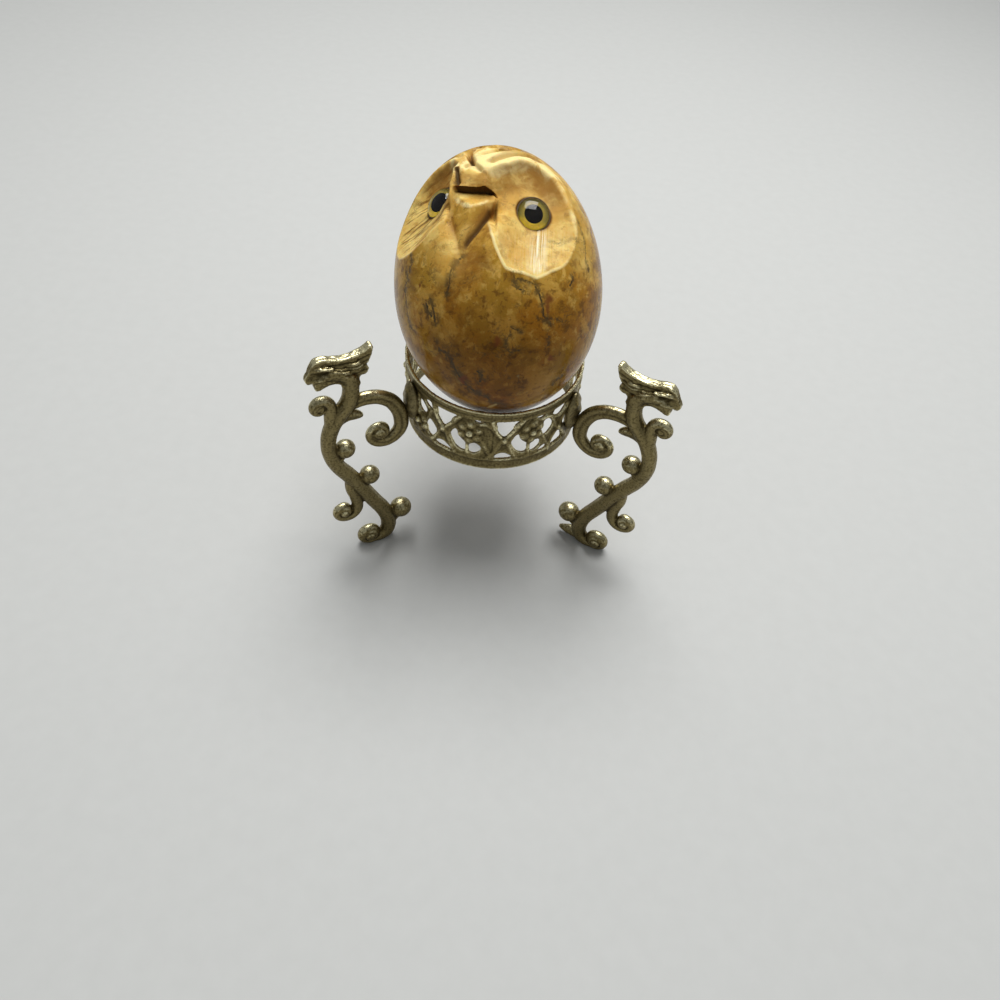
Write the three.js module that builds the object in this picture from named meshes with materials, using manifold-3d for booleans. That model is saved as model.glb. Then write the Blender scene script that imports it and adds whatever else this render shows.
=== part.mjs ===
// Owl figurine: a carved alabaster egg with inset glass eyes, resting loose in a pierced
// brass gallery ring that three cast dragon legs carry on soldered pads.
// Millimetres, +Z up. Left and right are as seen from the front, which faces -Y.

import * as THREE from 'three';
import { mergeVertices } from 'three/addons/utils/BufferGeometryUtils.js';
import Module from 'manifold-3d';

const wasm = await Module();
wasm.setup();
const rad = THREE.MathUtils.degToRad;

// Gap kept between neighbouring pieces
const FIT_GAP = 0.3;

// Carved egg: widest radius, height of the crown and of the base from the widest ring
const EGG_RADIUS = 20.6;
const EGG_CROWN = 26.9;
const EGG_BASE = 24.5;
const EGG_LEAN = rad(40);
const EGG_SIDE_TILT = rad(-9.4);
const EGG_SHIFT_X = -0.5;
const EGG_SHIFT_Y = 1.9;

// Facial discs: two shallow hollows, each square to a direction given by turn and rise
const DISC_HALF_WIDTH = 9.0;
const DISC_HALF_HEIGHT = 11.6;
const DISC_HOLLOW = 1.3;
const DISC_ROUNDNESS = 6.0;
const DISCS = {
  left: { turn: rad(-144), rise: rad(33), sink: 2.35, up: 5.4, eyeAcross: -0.5, eyeUp: 1.3 },
  right: { turn: rad(-64.5), rise: rad(22.7), sink: 2.05, up: 5.0, eyeAcross: 1.2, eyeUp: 0.7 },
};

// Slit above the beak and the two grooves that part the beak from the cheeks
const SLIT_LENGTH = 8.0;
const SLIT_HEIGHT = 1.3;
const SLIT_DEPTH = 1.9;
const SLIT_TURN = rad(-99);
const SLIT_RISE = rad(43.9);
const SLIT_ROLL = rad(-12);
const GROOVE_RADIUS = 0.8;
const BEAK_TIP = { turn: rad(-105), rise: rad(15) };
const BEAK_CORNERS = [{ turn: rad(-115), rise: rad(43) }, { turn: rad(-85), rise: rad(39) }];

// Glass eye, set in a drilled socket on a bed of cement
const EYE_RADIUS = 3.0;
const EYE_DOME = 1.5;
const EYE_SETTING = 1.0;
const IRIS_THICKNESS = 0.5;
const PUPIL_RADIUS = 1.6;
const CEMENT_THICKNESS = 0.6;

// Pierced gallery ring
const RING_RADIUS = 18.85;
const RING_WALL = 0.7;
const RING_HEIGHT = 16.3;
const RIM_HEIGHT = 2.3;
const RIM_BEAD = 0.22;
const MOTIF_COUNT = 10;
const MOTIF_START = rad(-78);

// Solder pad between the ring and each leg
const PAD_THICKNESS = 0.6;
const PAD_WIDTH = 5.2;
const PAD_HEIGHT = 9.6;
const PAD_RISE = 0.5;

// Cast legs, drawn on a grid that divides the leg's height into steps. Counted in these steps: the height
// of the ring's middle, the half thickness of the stem, scrolls and knobs, how much of the foot is worn
// flat and how far the seat scroll's eye stands out from the pad. Each leg has the turn at which it
// stands and the sideways swing with which it was soldered on.
const LEG_HEIGHT = 60.0;
const LEG_STEPS = 60;
const SEAT_STEPS = 41.15;
const STEM_STEPS = 1.5;
const SCROLL_STEPS = 1.3;
const KNOB_STEPS = 2.0;
const FLAT_STEPS = 0.45;
const REACH_STEPS = 6.0;
const LEGS = {
  left: { turn: rad(212.3), swing: rad(0), spur: false },
  right: { turn: rad(-24.8), swing: rad(3.0), spur: true },
  back: { turn: rad(93.75), swing: rad(0), spur: false },
};

// Places that follow from the sizes above
const legStep = LEG_HEIGHT / LEG_STEPS;
const ringMiddle = SEAT_STEPS * legStep;
const ringTop = ringMiddle + RING_HEIGHT / 2;
const padInner = RING_RADIUS + FIT_GAP;
const legFace = padInner + PAD_THICKNESS + FIT_GAP;

// Closed solid from a geometry: shared corners merged, faces turned outwards
function solid(geometry) {
  const bare = geometry.clone();
  bare.deleteAttribute('normal');
  bare.deleteAttribute('uv');
  const merged = mergeVertices(bare, 1e-4);
  const position = merged.attributes.position;
  const corner = (i) => new THREE.Vector3().fromBufferAttribute(position, i);
  const triangles = [];
  let volume = 0;
  for (let i = 0; i < merged.index.count; i += 3) {
    const [a, b, c] = [0, 1, 2].map((k) => merged.index.getX(i + k));
    if (a !== b && b !== c && c !== a) {
      triangles.push([a, b, c]);
      volume += corner(a).dot(corner(b).cross(corner(c)));
    }
  }
  const outward = volume > 0 ? triangles : triangles.map(([a, b, c]) => [a, c, b]);
  return new wasm.Manifold(new wasm.Mesh({
    numProp: 3,
    vertProperties: new Float32Array(position.array),
    triVerts: new Uint32Array(outward.flat()),
  }));
}

function union(parts) {
  return parts.slice(1).reduce((sum, part) => sum.add(part), parts[0]);
}

// Named mesh from a closed solid
function piece(name, body, look) {
  const data = body.getMesh();
  const geometry = new THREE.BufferGeometry();
  geometry.setAttribute('position', new THREE.BufferAttribute(data.vertProperties, 3));
  geometry.setIndex(new THREE.BufferAttribute(data.triVerts, 1));
  geometry.computeVertexNormals();
  const mesh = new THREE.Mesh(geometry, new THREE.MeshStandardMaterial(look));
  mesh.name = name;
  return mesh;
}

const ALABASTER = { color: 0xb98a45, roughness: 0.3, metalness: 0.0 };
const BRASS = { color: 0x7d6a3a, roughness: 0.45, metalness: 1.0 };
const SOLDER = { color: 0x8f8458, roughness: 0.4, metalness: 1.0 };
const GLASS = { color: 0xe8e4d0, roughness: 0.05, metalness: 0.0 };
const IRIS = { color: 0x8a7a26, roughness: 0.4, metalness: 0.0 };
const PUPIL = { color: 0x0b0906, roughness: 0.3, metalness: 0.0 };
const CEMENT = { color: 0x4a3320, roughness: 0.8, metalness: 0.0 };

// Body of revolution about +Z from points [radius, height]
function turned(profile, segments) {
  const points = profile.map(([r, z]) => new THREE.Vector2(r, z));
  return new THREE.LatheGeometry(points, segments).rotateX(Math.PI / 2);
}

// Unit direction from a turn about the axis and a rise above the widest ring
function direction(turn, rise) {
  return new THREE.Vector3(Math.cos(rise) * Math.cos(turn), Math.cos(rise) * Math.sin(turn), Math.sin(rise));
}

// Frame with x across, y up and z along a direction, placed at a point
function facing(normal, origin, roll = 0) {
  const across = new THREE.Vector3(0, 0, 1).cross(normal).normalize();
  const up = normal.clone().cross(across);
  const turn = new THREE.Matrix4().makeRotationZ(roll);
  return new THREE.Matrix4().makeBasis(across, up, normal).setPosition(origin).multiply(turn);
}

// Egg: the crown and base halves are half ellipsoids on one widest ring
function eggSurface(normal) {
  const reach = normal.z > 0 ? EGG_CROWN : EGG_BASE;
  const flat = Math.hypot(normal.x, normal.y) / EGG_RADIUS;
  return normal.clone().multiplyScalar(1 / Math.hypot(flat, normal.z / reach));
}

function eggSupport(normal) {
  return Math.hypot(EGG_RADIUS * Math.hypot(normal.x, normal.y), EGG_CROWN * normal.z);
}

function eggProfile(rings) {
  const points = [];
  for (let i = 0; i <= rings; i += 1) {
    const angle = Math.PI * (i / rings - 0.5);
    const reach = angle > 0 ? EGG_CROWN : EGG_BASE;
    const radius = i === 0 || i === rings ? 0 : EGG_RADIUS * Math.cos(angle);
    points.push([radius, reach * Math.sin(angle)]);
  }
  return points;
}

// Facial disc: the hollowing ellipsoid's frame and half sizes, and the eye's seat on its floor
function discForm({ turn, rise, sink, up, eyeAcross, eyeUp }) {
  const normal = direction(turn, rise);
  const open = Math.sqrt(1 - (1 - DISC_HOLLOW / DISC_ROUNDNESS) ** 2);
  const halfWidth = DISC_HALF_WIDTH / open;
  const halfHeight = DISC_HALF_HEIGHT / open;
  const centre = eggSupport(normal) - sink - DISC_HOLLOW + DISC_ROUNDNESS;
  const frame = facing(normal, new THREE.Vector3());
  const spread = Math.sqrt(1 - (eyeAcross / halfWidth) ** 2 - (eyeUp / halfHeight) ** 2);
  const hollow = new THREE.SphereGeometry(1, 32, 20)
    .scale(halfWidth, halfHeight, DISC_ROUNDNESS)
    .translate(0, up, centre)
    .applyMatrix4(frame);
  const seat = new THREE.Vector3(eyeAcross, up + eyeUp, centre - DISC_ROUNDNESS * spread);
  return { hollow, eyeFrame: facing(normal, seat.applyMatrix4(frame)) };
}

// Straight round cutter between two points, with both ends run past
function rod(from, to, radius) {
  const along = to.clone().sub(from);
  const turn = new THREE.Quaternion().setFromUnitVectors(new THREE.Vector3(0, 1, 0), along.clone().normalize());
  const middle = from.clone().add(to).multiplyScalar(0.5);
  return new THREE.CylinderGeometry(radius, radius, along.length(), 10)
    .applyMatrix4(new THREE.Matrix4().compose(middle, turn, new THREE.Vector3(1, 1, 1)));
}

// Depths in the socket, down from the disc's floor
const irisTop = -EYE_SETTING - FIT_GAP;
const cementTop = irisTop - IRIS_THICKNESS - FIT_GAP;
const socketFloor = cementTop - CEMENT_THICKNESS - FIT_GAP;

function disc(radius, low, high, segments) {
  return turned([[0, low], [radius, low], [radius, high], [0, high]], segments);
}

function owlBody(forms) {
  const cuts = [];
  for (const { hollow, eyeFrame } of forms) {
    const socket = disc(EYE_RADIUS + FIT_GAP, socketFloor, EYE_DOME + DISC_HOLLOW, 24);
    cuts.push(solid(hollow), solid(socket.applyMatrix4(eyeFrame)));
  }
  const slitAt = direction(SLIT_TURN, SLIT_RISE);
  const slit = new THREE.BoxGeometry(SLIT_LENGTH, SLIT_HEIGHT, 2 * SLIT_DEPTH)
    .applyMatrix4(facing(slitAt, eggSurface(slitAt), SLIT_ROLL));
  cuts.push(solid(slit));
  const tip = eggSurface(direction(BEAK_TIP.turn, BEAK_TIP.rise));
  for (const { turn, rise } of BEAK_CORNERS) {
    cuts.push(solid(rod(eggSurface(direction(turn, rise)), tip, GROOVE_RADIUS)));
  }
  return solid(turned(eggProfile(22), 40)).subtract(union(cuts));
}

// One eye: cement bed, painted iris ring with the pupil inside it, and the clear dome on top
function eyePieces(side, frame) {
  const placed = (geometry) => solid(geometry.applyMatrix4(frame));
  const bed = disc(EYE_RADIUS, cementTop - CEMENT_THICKNESS, cementTop, 20);
  const hole = PUPIL_RADIUS + FIT_GAP;
  const low = irisTop - IRIS_THICKNESS;
  const iris = turned([[hole, low], [EYE_RADIUS, low], [EYE_RADIUS, irisTop], [hole, irisTop], [hole, low]], 20);
  const pupil = disc(PUPIL_RADIUS, low, irisTop, 16);
  const dome = [[0, -EYE_SETTING], [EYE_RADIUS, -EYE_SETTING]];
  for (let i = 0; i <= 5; i += 1) {
    const angle = (i / 5) * Math.PI / 2;
    dome.push([i === 5 ? 0 : EYE_RADIUS * Math.cos(angle), EYE_DOME * Math.sin(angle)]);
  }
  return [
    piece(`${side}_eye_cement`, placed(bed), CEMENT),
    piece(`${side}_eye_iris`, placed(iris), IRIS),
    piece(`${side}_eye_pupil`, placed(pupil), PUPIL),
    piece(`${side}_eye_glass`, placed(turned(dome, 20)), GLASS),
  ];
}

// Height at which the tilted egg, grown by the fit gap, just meets the ring's inner top edge
function seatHeight(tilt) {
  const back = tilt.clone().invert();
  const inner = RING_RADIUS - RING_WALL;
  const meets = (height) => {
    for (let i = 0; i < 360; i += 1) {
      const p = new THREE.Vector3(inner * Math.cos(rad(i)), inner * Math.sin(rad(i)), ringTop);
      p.sub(new THREE.Vector3(EGG_SHIFT_X, EGG_SHIFT_Y, height)).applyQuaternion(back);
      const reach = (p.z > 0 ? EGG_CROWN : EGG_BASE) + FIT_GAP;
      if (Math.hypot(Math.hypot(p.x, p.y) / (EGG_RADIUS + FIT_GAP), p.z / reach) < 1) {
        return true;
      }
    }
    return false;
  };
  let low = ringTop;
  let high = ringTop + EGG_CROWN + EGG_BASE;
  for (let i = 0; i < 40; i += 1) {
    const middle = (low + high) / 2;
    [low, high] = meets(middle) ? [middle, high] : [low, middle];
  }
  return high;
}

// Openings of one motif of the gallery, as corner points [along, up] from the motif's centre:
// the bay between the crossing stems, the half moon below them, the gaps on either side of
// the crossing, the gap beside the rosette's stem and the small gap under the rim
const bay = RING_HEIGHT / 2 - RIM_HEIGHT;
const OPENINGS = [
  [[-2.1, bay], [2.1, bay], [1.5, 3.4], [1.0, 1.9], [-1.0, 1.9], [-1.5, 3.4]],
  [[-2.0, -bay], [-1.3, 1.4 - bay], [0, 2.0 - bay], [1.3, 1.4 - bay], [2.0, -bay]],
  [[-1.7, 0.9], [-3.2, -0.5], [-3.5, -2.6], [-2.4, -3.6], [-1.2, -0.9]],
  [[1.7, 1.5], [3.3, 0.4], [4.7, -1.0], [5.0, -3.8], [3.2, -3.5], [1.3, -0.8]],
  [[-5.6, 1.7], [-4.0, 1.2], [-3.5, 3.0], [-4.5, 4.6], [-5.6, 4.4]],
  [[-5.3, bay], [-3.2, bay], [-3.4, bay - 1.0]],
];

function galleryRing() {
  const inner = RING_RADIUS - RING_WALL;
  const bead = RING_RADIUS + RIM_BEAD;
  const shoulder = bay + RIM_BEAD;
  const edge = RING_HEIGHT / 2;
  const half = [[RING_RADIUS, bay], [bead, shoulder], [bead, edge]];
  const outside = [...half.map(([r, z]) => [r, -z]).reverse(), ...half];
  const profile = [[inner, -edge], ...outside, [inner, edge], [inner, -edge]];
  const ring = solid(turned(profile, 60));
  const cuts = [];
  for (let i = 0; i < MOTIF_COUNT; i += 1) {
    const angle = MOTIF_START + (i * 2 * Math.PI) / MOTIF_COUNT;
    const flip = i % 2 === 0 ? 1 : -1;
    const outward = direction(angle, 0);
    const frame = facing(outward, outward.clone().multiplyScalar(inner - RING_WALL));
    for (const outline of OPENINGS) {
      const shape = new THREE.Shape(outline.map(([along, up]) => new THREE.Vector2(along, up * flip)));
      const prism = new THREE.ExtrudeGeometry(shape, { depth: 4 * RING_WALL, bevelEnabled: false, steps: 1 });
      cuts.push(solid(prism.applyMatrix4(frame)));
    }
  }
  return ring.subtract(union(cuts)).translate([0, 0, ringMiddle]);
}

// Solder pad: a curved plate with an oval outline, hugging the ring
function solderPad() {
  const plate = turned([
    [padInner, -PAD_HEIGHT], [padInner + PAD_THICKNESS, -PAD_HEIGHT],
    [padInner + PAD_THICKNESS, PAD_HEIGHT], [padInner, PAD_HEIGHT], [padInner, -PAD_HEIGHT],
  ], 96);
  const oval = new THREE.CylinderGeometry(1, 1, 2 * PAD_THICKNESS + 2 * PAD_WIDTH, 20)
    .scale(PAD_WIDTH / 2, 1, PAD_HEIGHT / 2)
    .rotateZ(Math.PI / 2)
    .translate(padInner, 0, 0);
  return solid(plate).intersect(solid(oval)).translate([0, 0, ringMiddle + PAD_RISE]);
}

// Round bar with rounded ends along a curve in the leg's plane, through points [out, up, radius]
function bar(points, steps, sides) {
  const curve = new THREE.CatmullRomCurve3(points.map(([x, z, r]) => new THREE.Vector3(x, r, z)));
  const rings = [];
  const ring = (p, along, radius) => {
    const normal = new THREE.Vector3(along.z, 0, -along.x);
    rings.push(Array.from({ length: sides }, (_, k) => {
      const angle = ((k + 0.5) * 2 * Math.PI) / sides;
      return p.clone().addScaledVector(normal, radius * Math.cos(angle))
        .add(new THREE.Vector3(0, radius * Math.sin(angle), 0));
    }));
  };
  const ends = [];
  for (let i = 0; i <= steps; i += 1) {
    const at = curve.getPoint(i / steps);
    const tangent = curve.getTangent(i / steps);
    const along = new THREE.Vector3(tangent.x, 0, tangent.z).normalize();
    const p = new THREE.Vector3(at.x, 0, at.z);
    const radius = at.y;
    if (i === 0) {
      ends.push(p.clone().addScaledVector(along, -radius));
      ring(p.clone().addScaledVector(along, -0.7 * radius), along, 0.7 * radius);
    }
    ring(p, along, radius);
    if (i === steps) {
      ring(p.clone().addScaledVector(along, 0.7 * radius), along, 0.7 * radius);
      ends.push(p.clone().addScaledVector(along, radius));
    }
  }
  const vertices = [...rings.flat(), ...ends].flatMap((v) => v.toArray());
  const index = [];
  const last = rings.length - 1;
  const at = (i, k) => i * sides + (k % sides);
  for (let k = 0; k < sides; k += 1) {
    for (let i = 0; i < last; i += 1) {
      index.push(at(i, k), at(i + 1, k), at(i + 1, k + 1), at(i, k), at(i + 1, k + 1), at(i, k + 1));
    }
    index.push(rings.length * sides, at(0, k), at(0, k + 1));
    index.push(rings.length * sides + 1, at(last, k + 1), at(last, k));
  }
  const geometry = new THREE.BufferGeometry();
  geometry.setAttribute('position', new THREE.Float32BufferAttribute(vertices, 3));
  geometry.setIndex(index);
  return solid(geometry);
}

function knob([x, z], radius) {
  return solid(new THREE.SphereGeometry(radius, 9, 6).rotateX(Math.PI / 2).translate(x, 0, z));
}

// Points of a scroll that winds from one angle to another while it tightens
function scroll([x, z], start, end, firstTurn, lastTurn, count, thick, thin) {
  return Array.from({ length: count }, (_, i) => {
    const t = i / (count - 1);
    const angle = firstTurn + (lastTurn - firstTurn) * t;
    const radius = start * (end / start) ** t;
    return [x + radius * Math.cos(angle), z + radius * Math.sin(angle), thick + (thin - thick) * t];
  });
}

// One leg in its own plane, drawn in grid steps: x runs out from the leg's face on the solder pad, z is up.
// Parts that meet the ring are placed from the ring's middle height, the rest from the floor or the foot.
function legBody({ swing, spur }) {
  const s = STEM_STEPS * legStep;
  const c = SCROLL_STEPS * legStep;
  const k = KNOB_STEPS * legStep;
  const reach = REACH_STEPS * legStep;
  const footAxis = s - FLAT_STEPS * legStep;
  const high = (x, dz, r) => [x * legStep, ringMiddle + dz * legStep, r];
  const low = (x, z, r) => [x * legStep, z * legStep, r];
  const foot = (x, dz, r) => [x * legStep, footAxis + dz * legStep, r];
  const stem = [
    high(11.8, 12.3, s), high(11.8, 9.0, s), high(12.7, 5.6, s), high(15.0, 2.6, s), high(17.1, -0.9, s),
    high(17.7, -4.9, s), low(16.6, 31.6, s), low(14.6, 27.0, s), low(12.6, 22.4, s), low(10.4, 17.3, s),
    low(8.0, 12.0, s), low(6.1, 7.4, s), low(5.4, 4.4, s), foot(6.1, 1.0, s), foot(8.0, 0, s), foot(10.0, 0.3, s),
  ];
  const seatStart = (reach - c) / Math.cos(rad(20));
  const arm = [high(12.4, 5.4, c), high(8.4, 5.5, c), high(4.9, 4.1, c), high(2.5, 1.3, c),
    ...scroll([reach, ringMiddle - 4.85 * legStep], seatStart, 1.25 * legStep, rad(160), rad(400), 10, c, 0.75 * c)];
  const upper = [high(16.4, 1.2, c), high(16.4, 4.0, c),
    ...scroll(high(18.8, 6.5), 2.2 * legStep, 1.15 * legStep, rad(175), rad(-70), 8, c, 0.75 * c)];
  const lower = [low(14.1, 23.5, c), low(13.5, 19.8, c), low(13.3, 16.0, c), low(13.9, 13.4, c), low(15.2, 12.6, c),
    low(16.2, 13.8, c)];
  const parts = [
    bar(stem, 26, 8),
    bar(arm, 22, 8),
    bar(upper, 12, 6),
    bar(lower, 8, 6),
    knob(low(16.5, 15.2), k),
    knob(foot(10.8, 1.7), 1.05 * k),
  ];
  const curls = [
    [low(16.4, 31.2, c), low(14.9, 31.8, 0.85 * c), low(14.2, 34.2, c)],
    [low(11.8, 20.6, c), low(9.9, 21.0, 0.85 * c), low(9.2, 23.9, c)],
    [low(5.6, 5.2, c), low(3.2, 5.4, 0.85 * c), low(2.1, 9.0, c)],
  ];
  for (const curl of curls) {
    parts.push(bar(curl, 4, 6), knob(curl[2], k));
  }
  const leaf = [high(14.2, 2.9, 0.8 * c), high(11.5, 2.1, 0.7 * c), high(9.9, 1.2, 0.4 * c)];
  const skull = [high(11.9, 12.0, s), high(14.4, 14.3, 1.3 * s), high(17.6, 14.9, 1.15 * s), high(20.4, 14.6, 0.6 * s)];
  const jaw = [high(15.6, 13.2, 0.6 * s), high(19.0, 12.5, 0.45 * s)];
  const crest = [high(19.6, 16.3, 0.5 * s), high(17.6, 17.4, 0.75 * s), high(14.4, 16.8, 0.85 * s),
    high(10.4, 16.8, 0.7 * s), high(7.1, 18.8, 0.3 * s)];
  const feathers = [[high(14.4, 15.2, 0.8 * s), high(10.4, 14.9, 0.65 * s), high(8.0, 16.4, 0.3 * s)],
    [high(13.0, 13.6, 0.7 * s), high(10.6, 13.1, 0.6 * s), high(8.8, 14.0, 0.35 * s)]];
  parts.push(bar(leaf, 3, 6), bar(skull, 6, 8), bar(jaw, 2, 6), bar(crest, 8, 6));
  parts.push(...feathers.map((points) => bar(points, 4, 6)));
  if (spur) {
    parts.push(bar([low(5.2, 3.4, 0.6 * c), low(1.1, 4.2, 0.2 * c)], 3, 6));
  }
  const floor = solid(new THREE.BoxGeometry(4 * RING_RADIUS, RING_RADIUS, RING_RADIUS).translate(RING_RADIUS, 0, -RING_RADIUS / 2));
  const seat = ringMiddle + PAD_RISE;
  const cast = union(parts).translate([0, 0, -seat]);
  return cast.rotate([THREE.MathUtils.radToDeg(swing), 0, 0]).translate([0, 0, seat]).subtract(floor);
}

// Stand: ring, and each leg with its pad turned to its place
const stand = new THREE.Group();
stand.add(piece('gallery_ring', galleryRing(), BRASS));
for (const [side, form] of Object.entries(LEGS)) {
  const place = new THREE.Group();
  place.rotation.z = form.turn;
  const leg = piece(`${side}_leg`, legBody(form), BRASS);
  leg.position.x = legFace;
  place.add(leg, piece(`${side}_leg_solder`, solderPad(), SOLDER));
  stand.add(place);
}

// Owl: the egg leans back and to one side on the ring's inner edge
const owl = new THREE.Group();
owl.rotation.set(-EGG_LEAN, EGG_SIDE_TILT, 0);
owl.position.set(EGG_SHIFT_X, EGG_SHIFT_Y, seatHeight(owl.quaternion));
const forms = Object.values(DISCS).map(discForm);
owl.add(piece('owl_body', owlBody(forms), ALABASTER));
Object.keys(DISCS).forEach((side, i) => owl.add(...eyePieces(side, forms[i].eyeFrame)));

// The origin is the middle of the whole object's box, on the surface it stands on
const figurine = new THREE.Group();
figurine.add(stand, owl);
figurine.updateMatrixWorld(true);
const box = new THREE.Box3().setFromObject(figurine, true);
figurine.position.set(-(box.min.x + box.max.x) / 2, -(box.min.y + box.max.y) / 2, -box.min.z);

export default figurine;
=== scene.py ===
# %% [markdown]
# # An alabaster owl on a brass egg stand
# The object is an egg of honey alabaster, carved into an owl with glass eyes, that rests loose in
# a small brass stand. The stand is a pierced ring on three cast dragon legs. The solids that give the
# sizes are loaded first, and each of them is then replaced by a piece with the detail of the real one.

# %% Load the solids and note their box
import math

import bpy
import numpy as np
import mathutils
from mathutils import Matrix, Vector


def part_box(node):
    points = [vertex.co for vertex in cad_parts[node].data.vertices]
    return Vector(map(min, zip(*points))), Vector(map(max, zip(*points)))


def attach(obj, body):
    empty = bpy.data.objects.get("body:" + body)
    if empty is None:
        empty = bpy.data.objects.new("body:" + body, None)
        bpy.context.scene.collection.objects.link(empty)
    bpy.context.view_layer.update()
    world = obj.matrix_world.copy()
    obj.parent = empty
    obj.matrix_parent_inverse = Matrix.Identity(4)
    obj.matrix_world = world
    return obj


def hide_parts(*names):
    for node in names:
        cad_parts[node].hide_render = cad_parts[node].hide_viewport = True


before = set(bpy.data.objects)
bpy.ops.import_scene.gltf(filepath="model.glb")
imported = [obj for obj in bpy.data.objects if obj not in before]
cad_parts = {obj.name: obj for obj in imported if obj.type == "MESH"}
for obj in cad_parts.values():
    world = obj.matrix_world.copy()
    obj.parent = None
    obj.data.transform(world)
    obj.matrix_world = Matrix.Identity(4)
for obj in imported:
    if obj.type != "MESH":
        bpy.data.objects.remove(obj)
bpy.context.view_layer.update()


def in_mm(corners):
    return [[round(1000 * v, 2) for v in corner] for corner in corners]


# %% [markdown]
# Small pieces are easier to model in millimetres, because the operators' own limits suit sizes near 1.
# So each piece is shaped in millimetres about a handy origin, and its mesh is then moved and scaled
# to its place. The ring's axis is the middle of the stand, and most places are counted from it.

# %% Places that the whole stand is built around
def spin(degrees, axis):
    return Matrix.Rotation(math.radians(degrees), 4, axis)


ring_low, ring_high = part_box("gallery_ring")
ring_axis = (ring_low + ring_high) / 2
RING_MIDDLE = 1000 * ring_axis.z
RING_RADIUS = 18.85
LEG_FACE = 20.05
STAND_PLACE = Matrix.Translation((ring_axis.x, ring_axis.y, 0)) @ Matrix.Scale(0.001, 4)
OWL_TILT = spin(-40, "X") @ spin(-9.4, "Y")
OWL_PLACE = STAND_PLACE @ Matrix.Translation((-0.5, 1.9, 63.283)) @ OWL_TILT
print("ring middle at", round(RING_MIDDLE, 2), "mm; owl centre", in_mm([OWL_PLACE.translation]))

# %% [markdown]
# The helpers below do what the hand does in the window: select one thing, add another, go into edit mode
# and out again, apply a modifier. The last of them puts a finished piece at its place.

# %% Helpers for selecting, editing and finishing
def only(piece):
    """Select this piece alone."""
    bpy.ops.object.select_all(action="DESELECT")
    piece.select_set(True)
    bpy.context.view_layer.objects.active = piece


def add(operator, name=None, **settings):
    """Add something while nothing else is selected, and keep a mesh's place in its points."""
    bpy.ops.object.select_all(action="DESELECT")
    operator(**settings)
    made = bpy.context.object
    made.name = name or made.name
    if made.type == "MESH":
        bpy.ops.object.transform_apply()
    return made


def edit_all():
    bpy.ops.object.mode_set(mode="EDIT")
    bpy.ops.mesh.select_all(action="SELECT")


def stop_editing():
    bpy.ops.object.mode_set(mode="OBJECT")


def face_outward():
    """Turn all faces of the mesh being edited outward, and leave edit mode."""
    bpy.ops.mesh.select_all(action="SELECT")
    bpy.ops.mesh.normals_make_consistent(inside=False)
    stop_editing()


def extrude(x, y, z):
    bpy.ops.mesh.extrude_region_move(TRANSFORM_OT_translate={"value": (x, y, z)})


def select_parts(piece, kind, chosen):
    """Go into edit mode with just the chosen faces or edges selected."""
    only(piece)
    bpy.ops.object.mode_set(mode="EDIT")
    bpy.ops.mesh.select_mode(type=kind)
    bpy.ops.mesh.select_all(action="DESELECT")
    stop_editing()
    parts = piece.data.polygons if kind == "FACE" else piece.data.edges
    parts.foreach_set("select", chosen)
    bpy.ops.object.mode_set(mode="EDIT")


def apply_modifier(piece, kind, **settings):
    only(piece)
    modifier = piece.modifiers.new(kind.title(), kind)
    for name, value in settings.items():
        setattr(modifier, name, value)
    bpy.ops.object.modifier_apply(modifier=modifier.name)


def join(parts, name):
    only(parts[0])
    for part in parts:
        part.select_set(True)
    bpy.ops.object.join()
    piece = bpy.context.object
    piece.name = name
    bpy.ops.object.transform_apply()
    return piece


def points_of(piece):
    flat = np.empty(3 * len(piece.data.vertices))
    piece.data.vertices.foreach_get("co", flat)
    return flat.reshape(-1, 3)


def move_points(piece, points):
    piece.data.vertices.foreach_set("co", np.ascontiguousarray(points, dtype=np.float32).ravel())
    piece.data.update()


def store(piece, name, values):
    """Keep one number per point, for a material to read."""
    layer = piece.data.attributes.new(name, "FLOAT", "POINT")
    layer.data.foreach_set("value", np.ascontiguousarray(values, dtype=np.float32))


def settle(piece, place, body, nodes, material):
    """Put a finished piece at its place with its finish, tie it to its body, and hide the solids that it replaces."""
    piece.data.transform(place)
    if place.determinant() < 0:
        piece.data.flip_normals()
    piece.data.materials.clear()
    piece.data.materials.append(material)
    only(piece)
    bpy.ops.object.shade_smooth()
    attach(piece, body)
    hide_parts(*nodes)
    print(piece.name, len(piece.data.polygons), "faces")

# %% [markdown]
# The camera stands where the photograph was taken from: above the owl, looking down at about fifty
# degrees and held slightly crooked. A lens of 28.8 mm on a 36 mm sensor gives the same view.

# %% Camera
PITCH, ROLL = 0.8791, 0.1088
LENS, SENSOR, NEAREST = 28.8, 36, 0.01
STANDPOINT = (ring_axis.x + 0.0043684, ring_axis.y - 0.1318398, 0.1597079)
ahead = Vector((0, math.cos(PITCH), -math.sin(PITCH)))
upright = Vector((0, math.sin(PITCH), math.cos(PITCH)))
sideways = Vector((1, 0, 0))
camera_x = sideways * math.cos(ROLL) + upright * math.sin(ROLL)
camera_y = upright * math.cos(ROLL) - sideways * math.sin(ROLL)
camera = add(bpy.ops.object.camera_add)
camera.data.lens = LENS
camera.data.sensor_width = SENSOR
camera.data.clip_start = NEAREST
looking = Matrix((camera_x, camera_y, -ahead)).transposed().to_4x4()
camera.matrix_world = Matrix.Translation(STANDPOINT) @ looking
bpy.context.scene.camera = camera
print("camera at", in_mm([camera.location]), "mm")

# %% [markdown]
# A pale sheet that runs back and curves up is the floor and the backdrop in one, as on a product
# table. It starts as a plane whose back edge is extruded upwards, and the fold is bevelled round.

# %% Floor and backdrop
SHEET_SIZE, SHEET_SHIFT, WALL, FOLD = 3.0, 0.6, 1.5, 0.8


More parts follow.
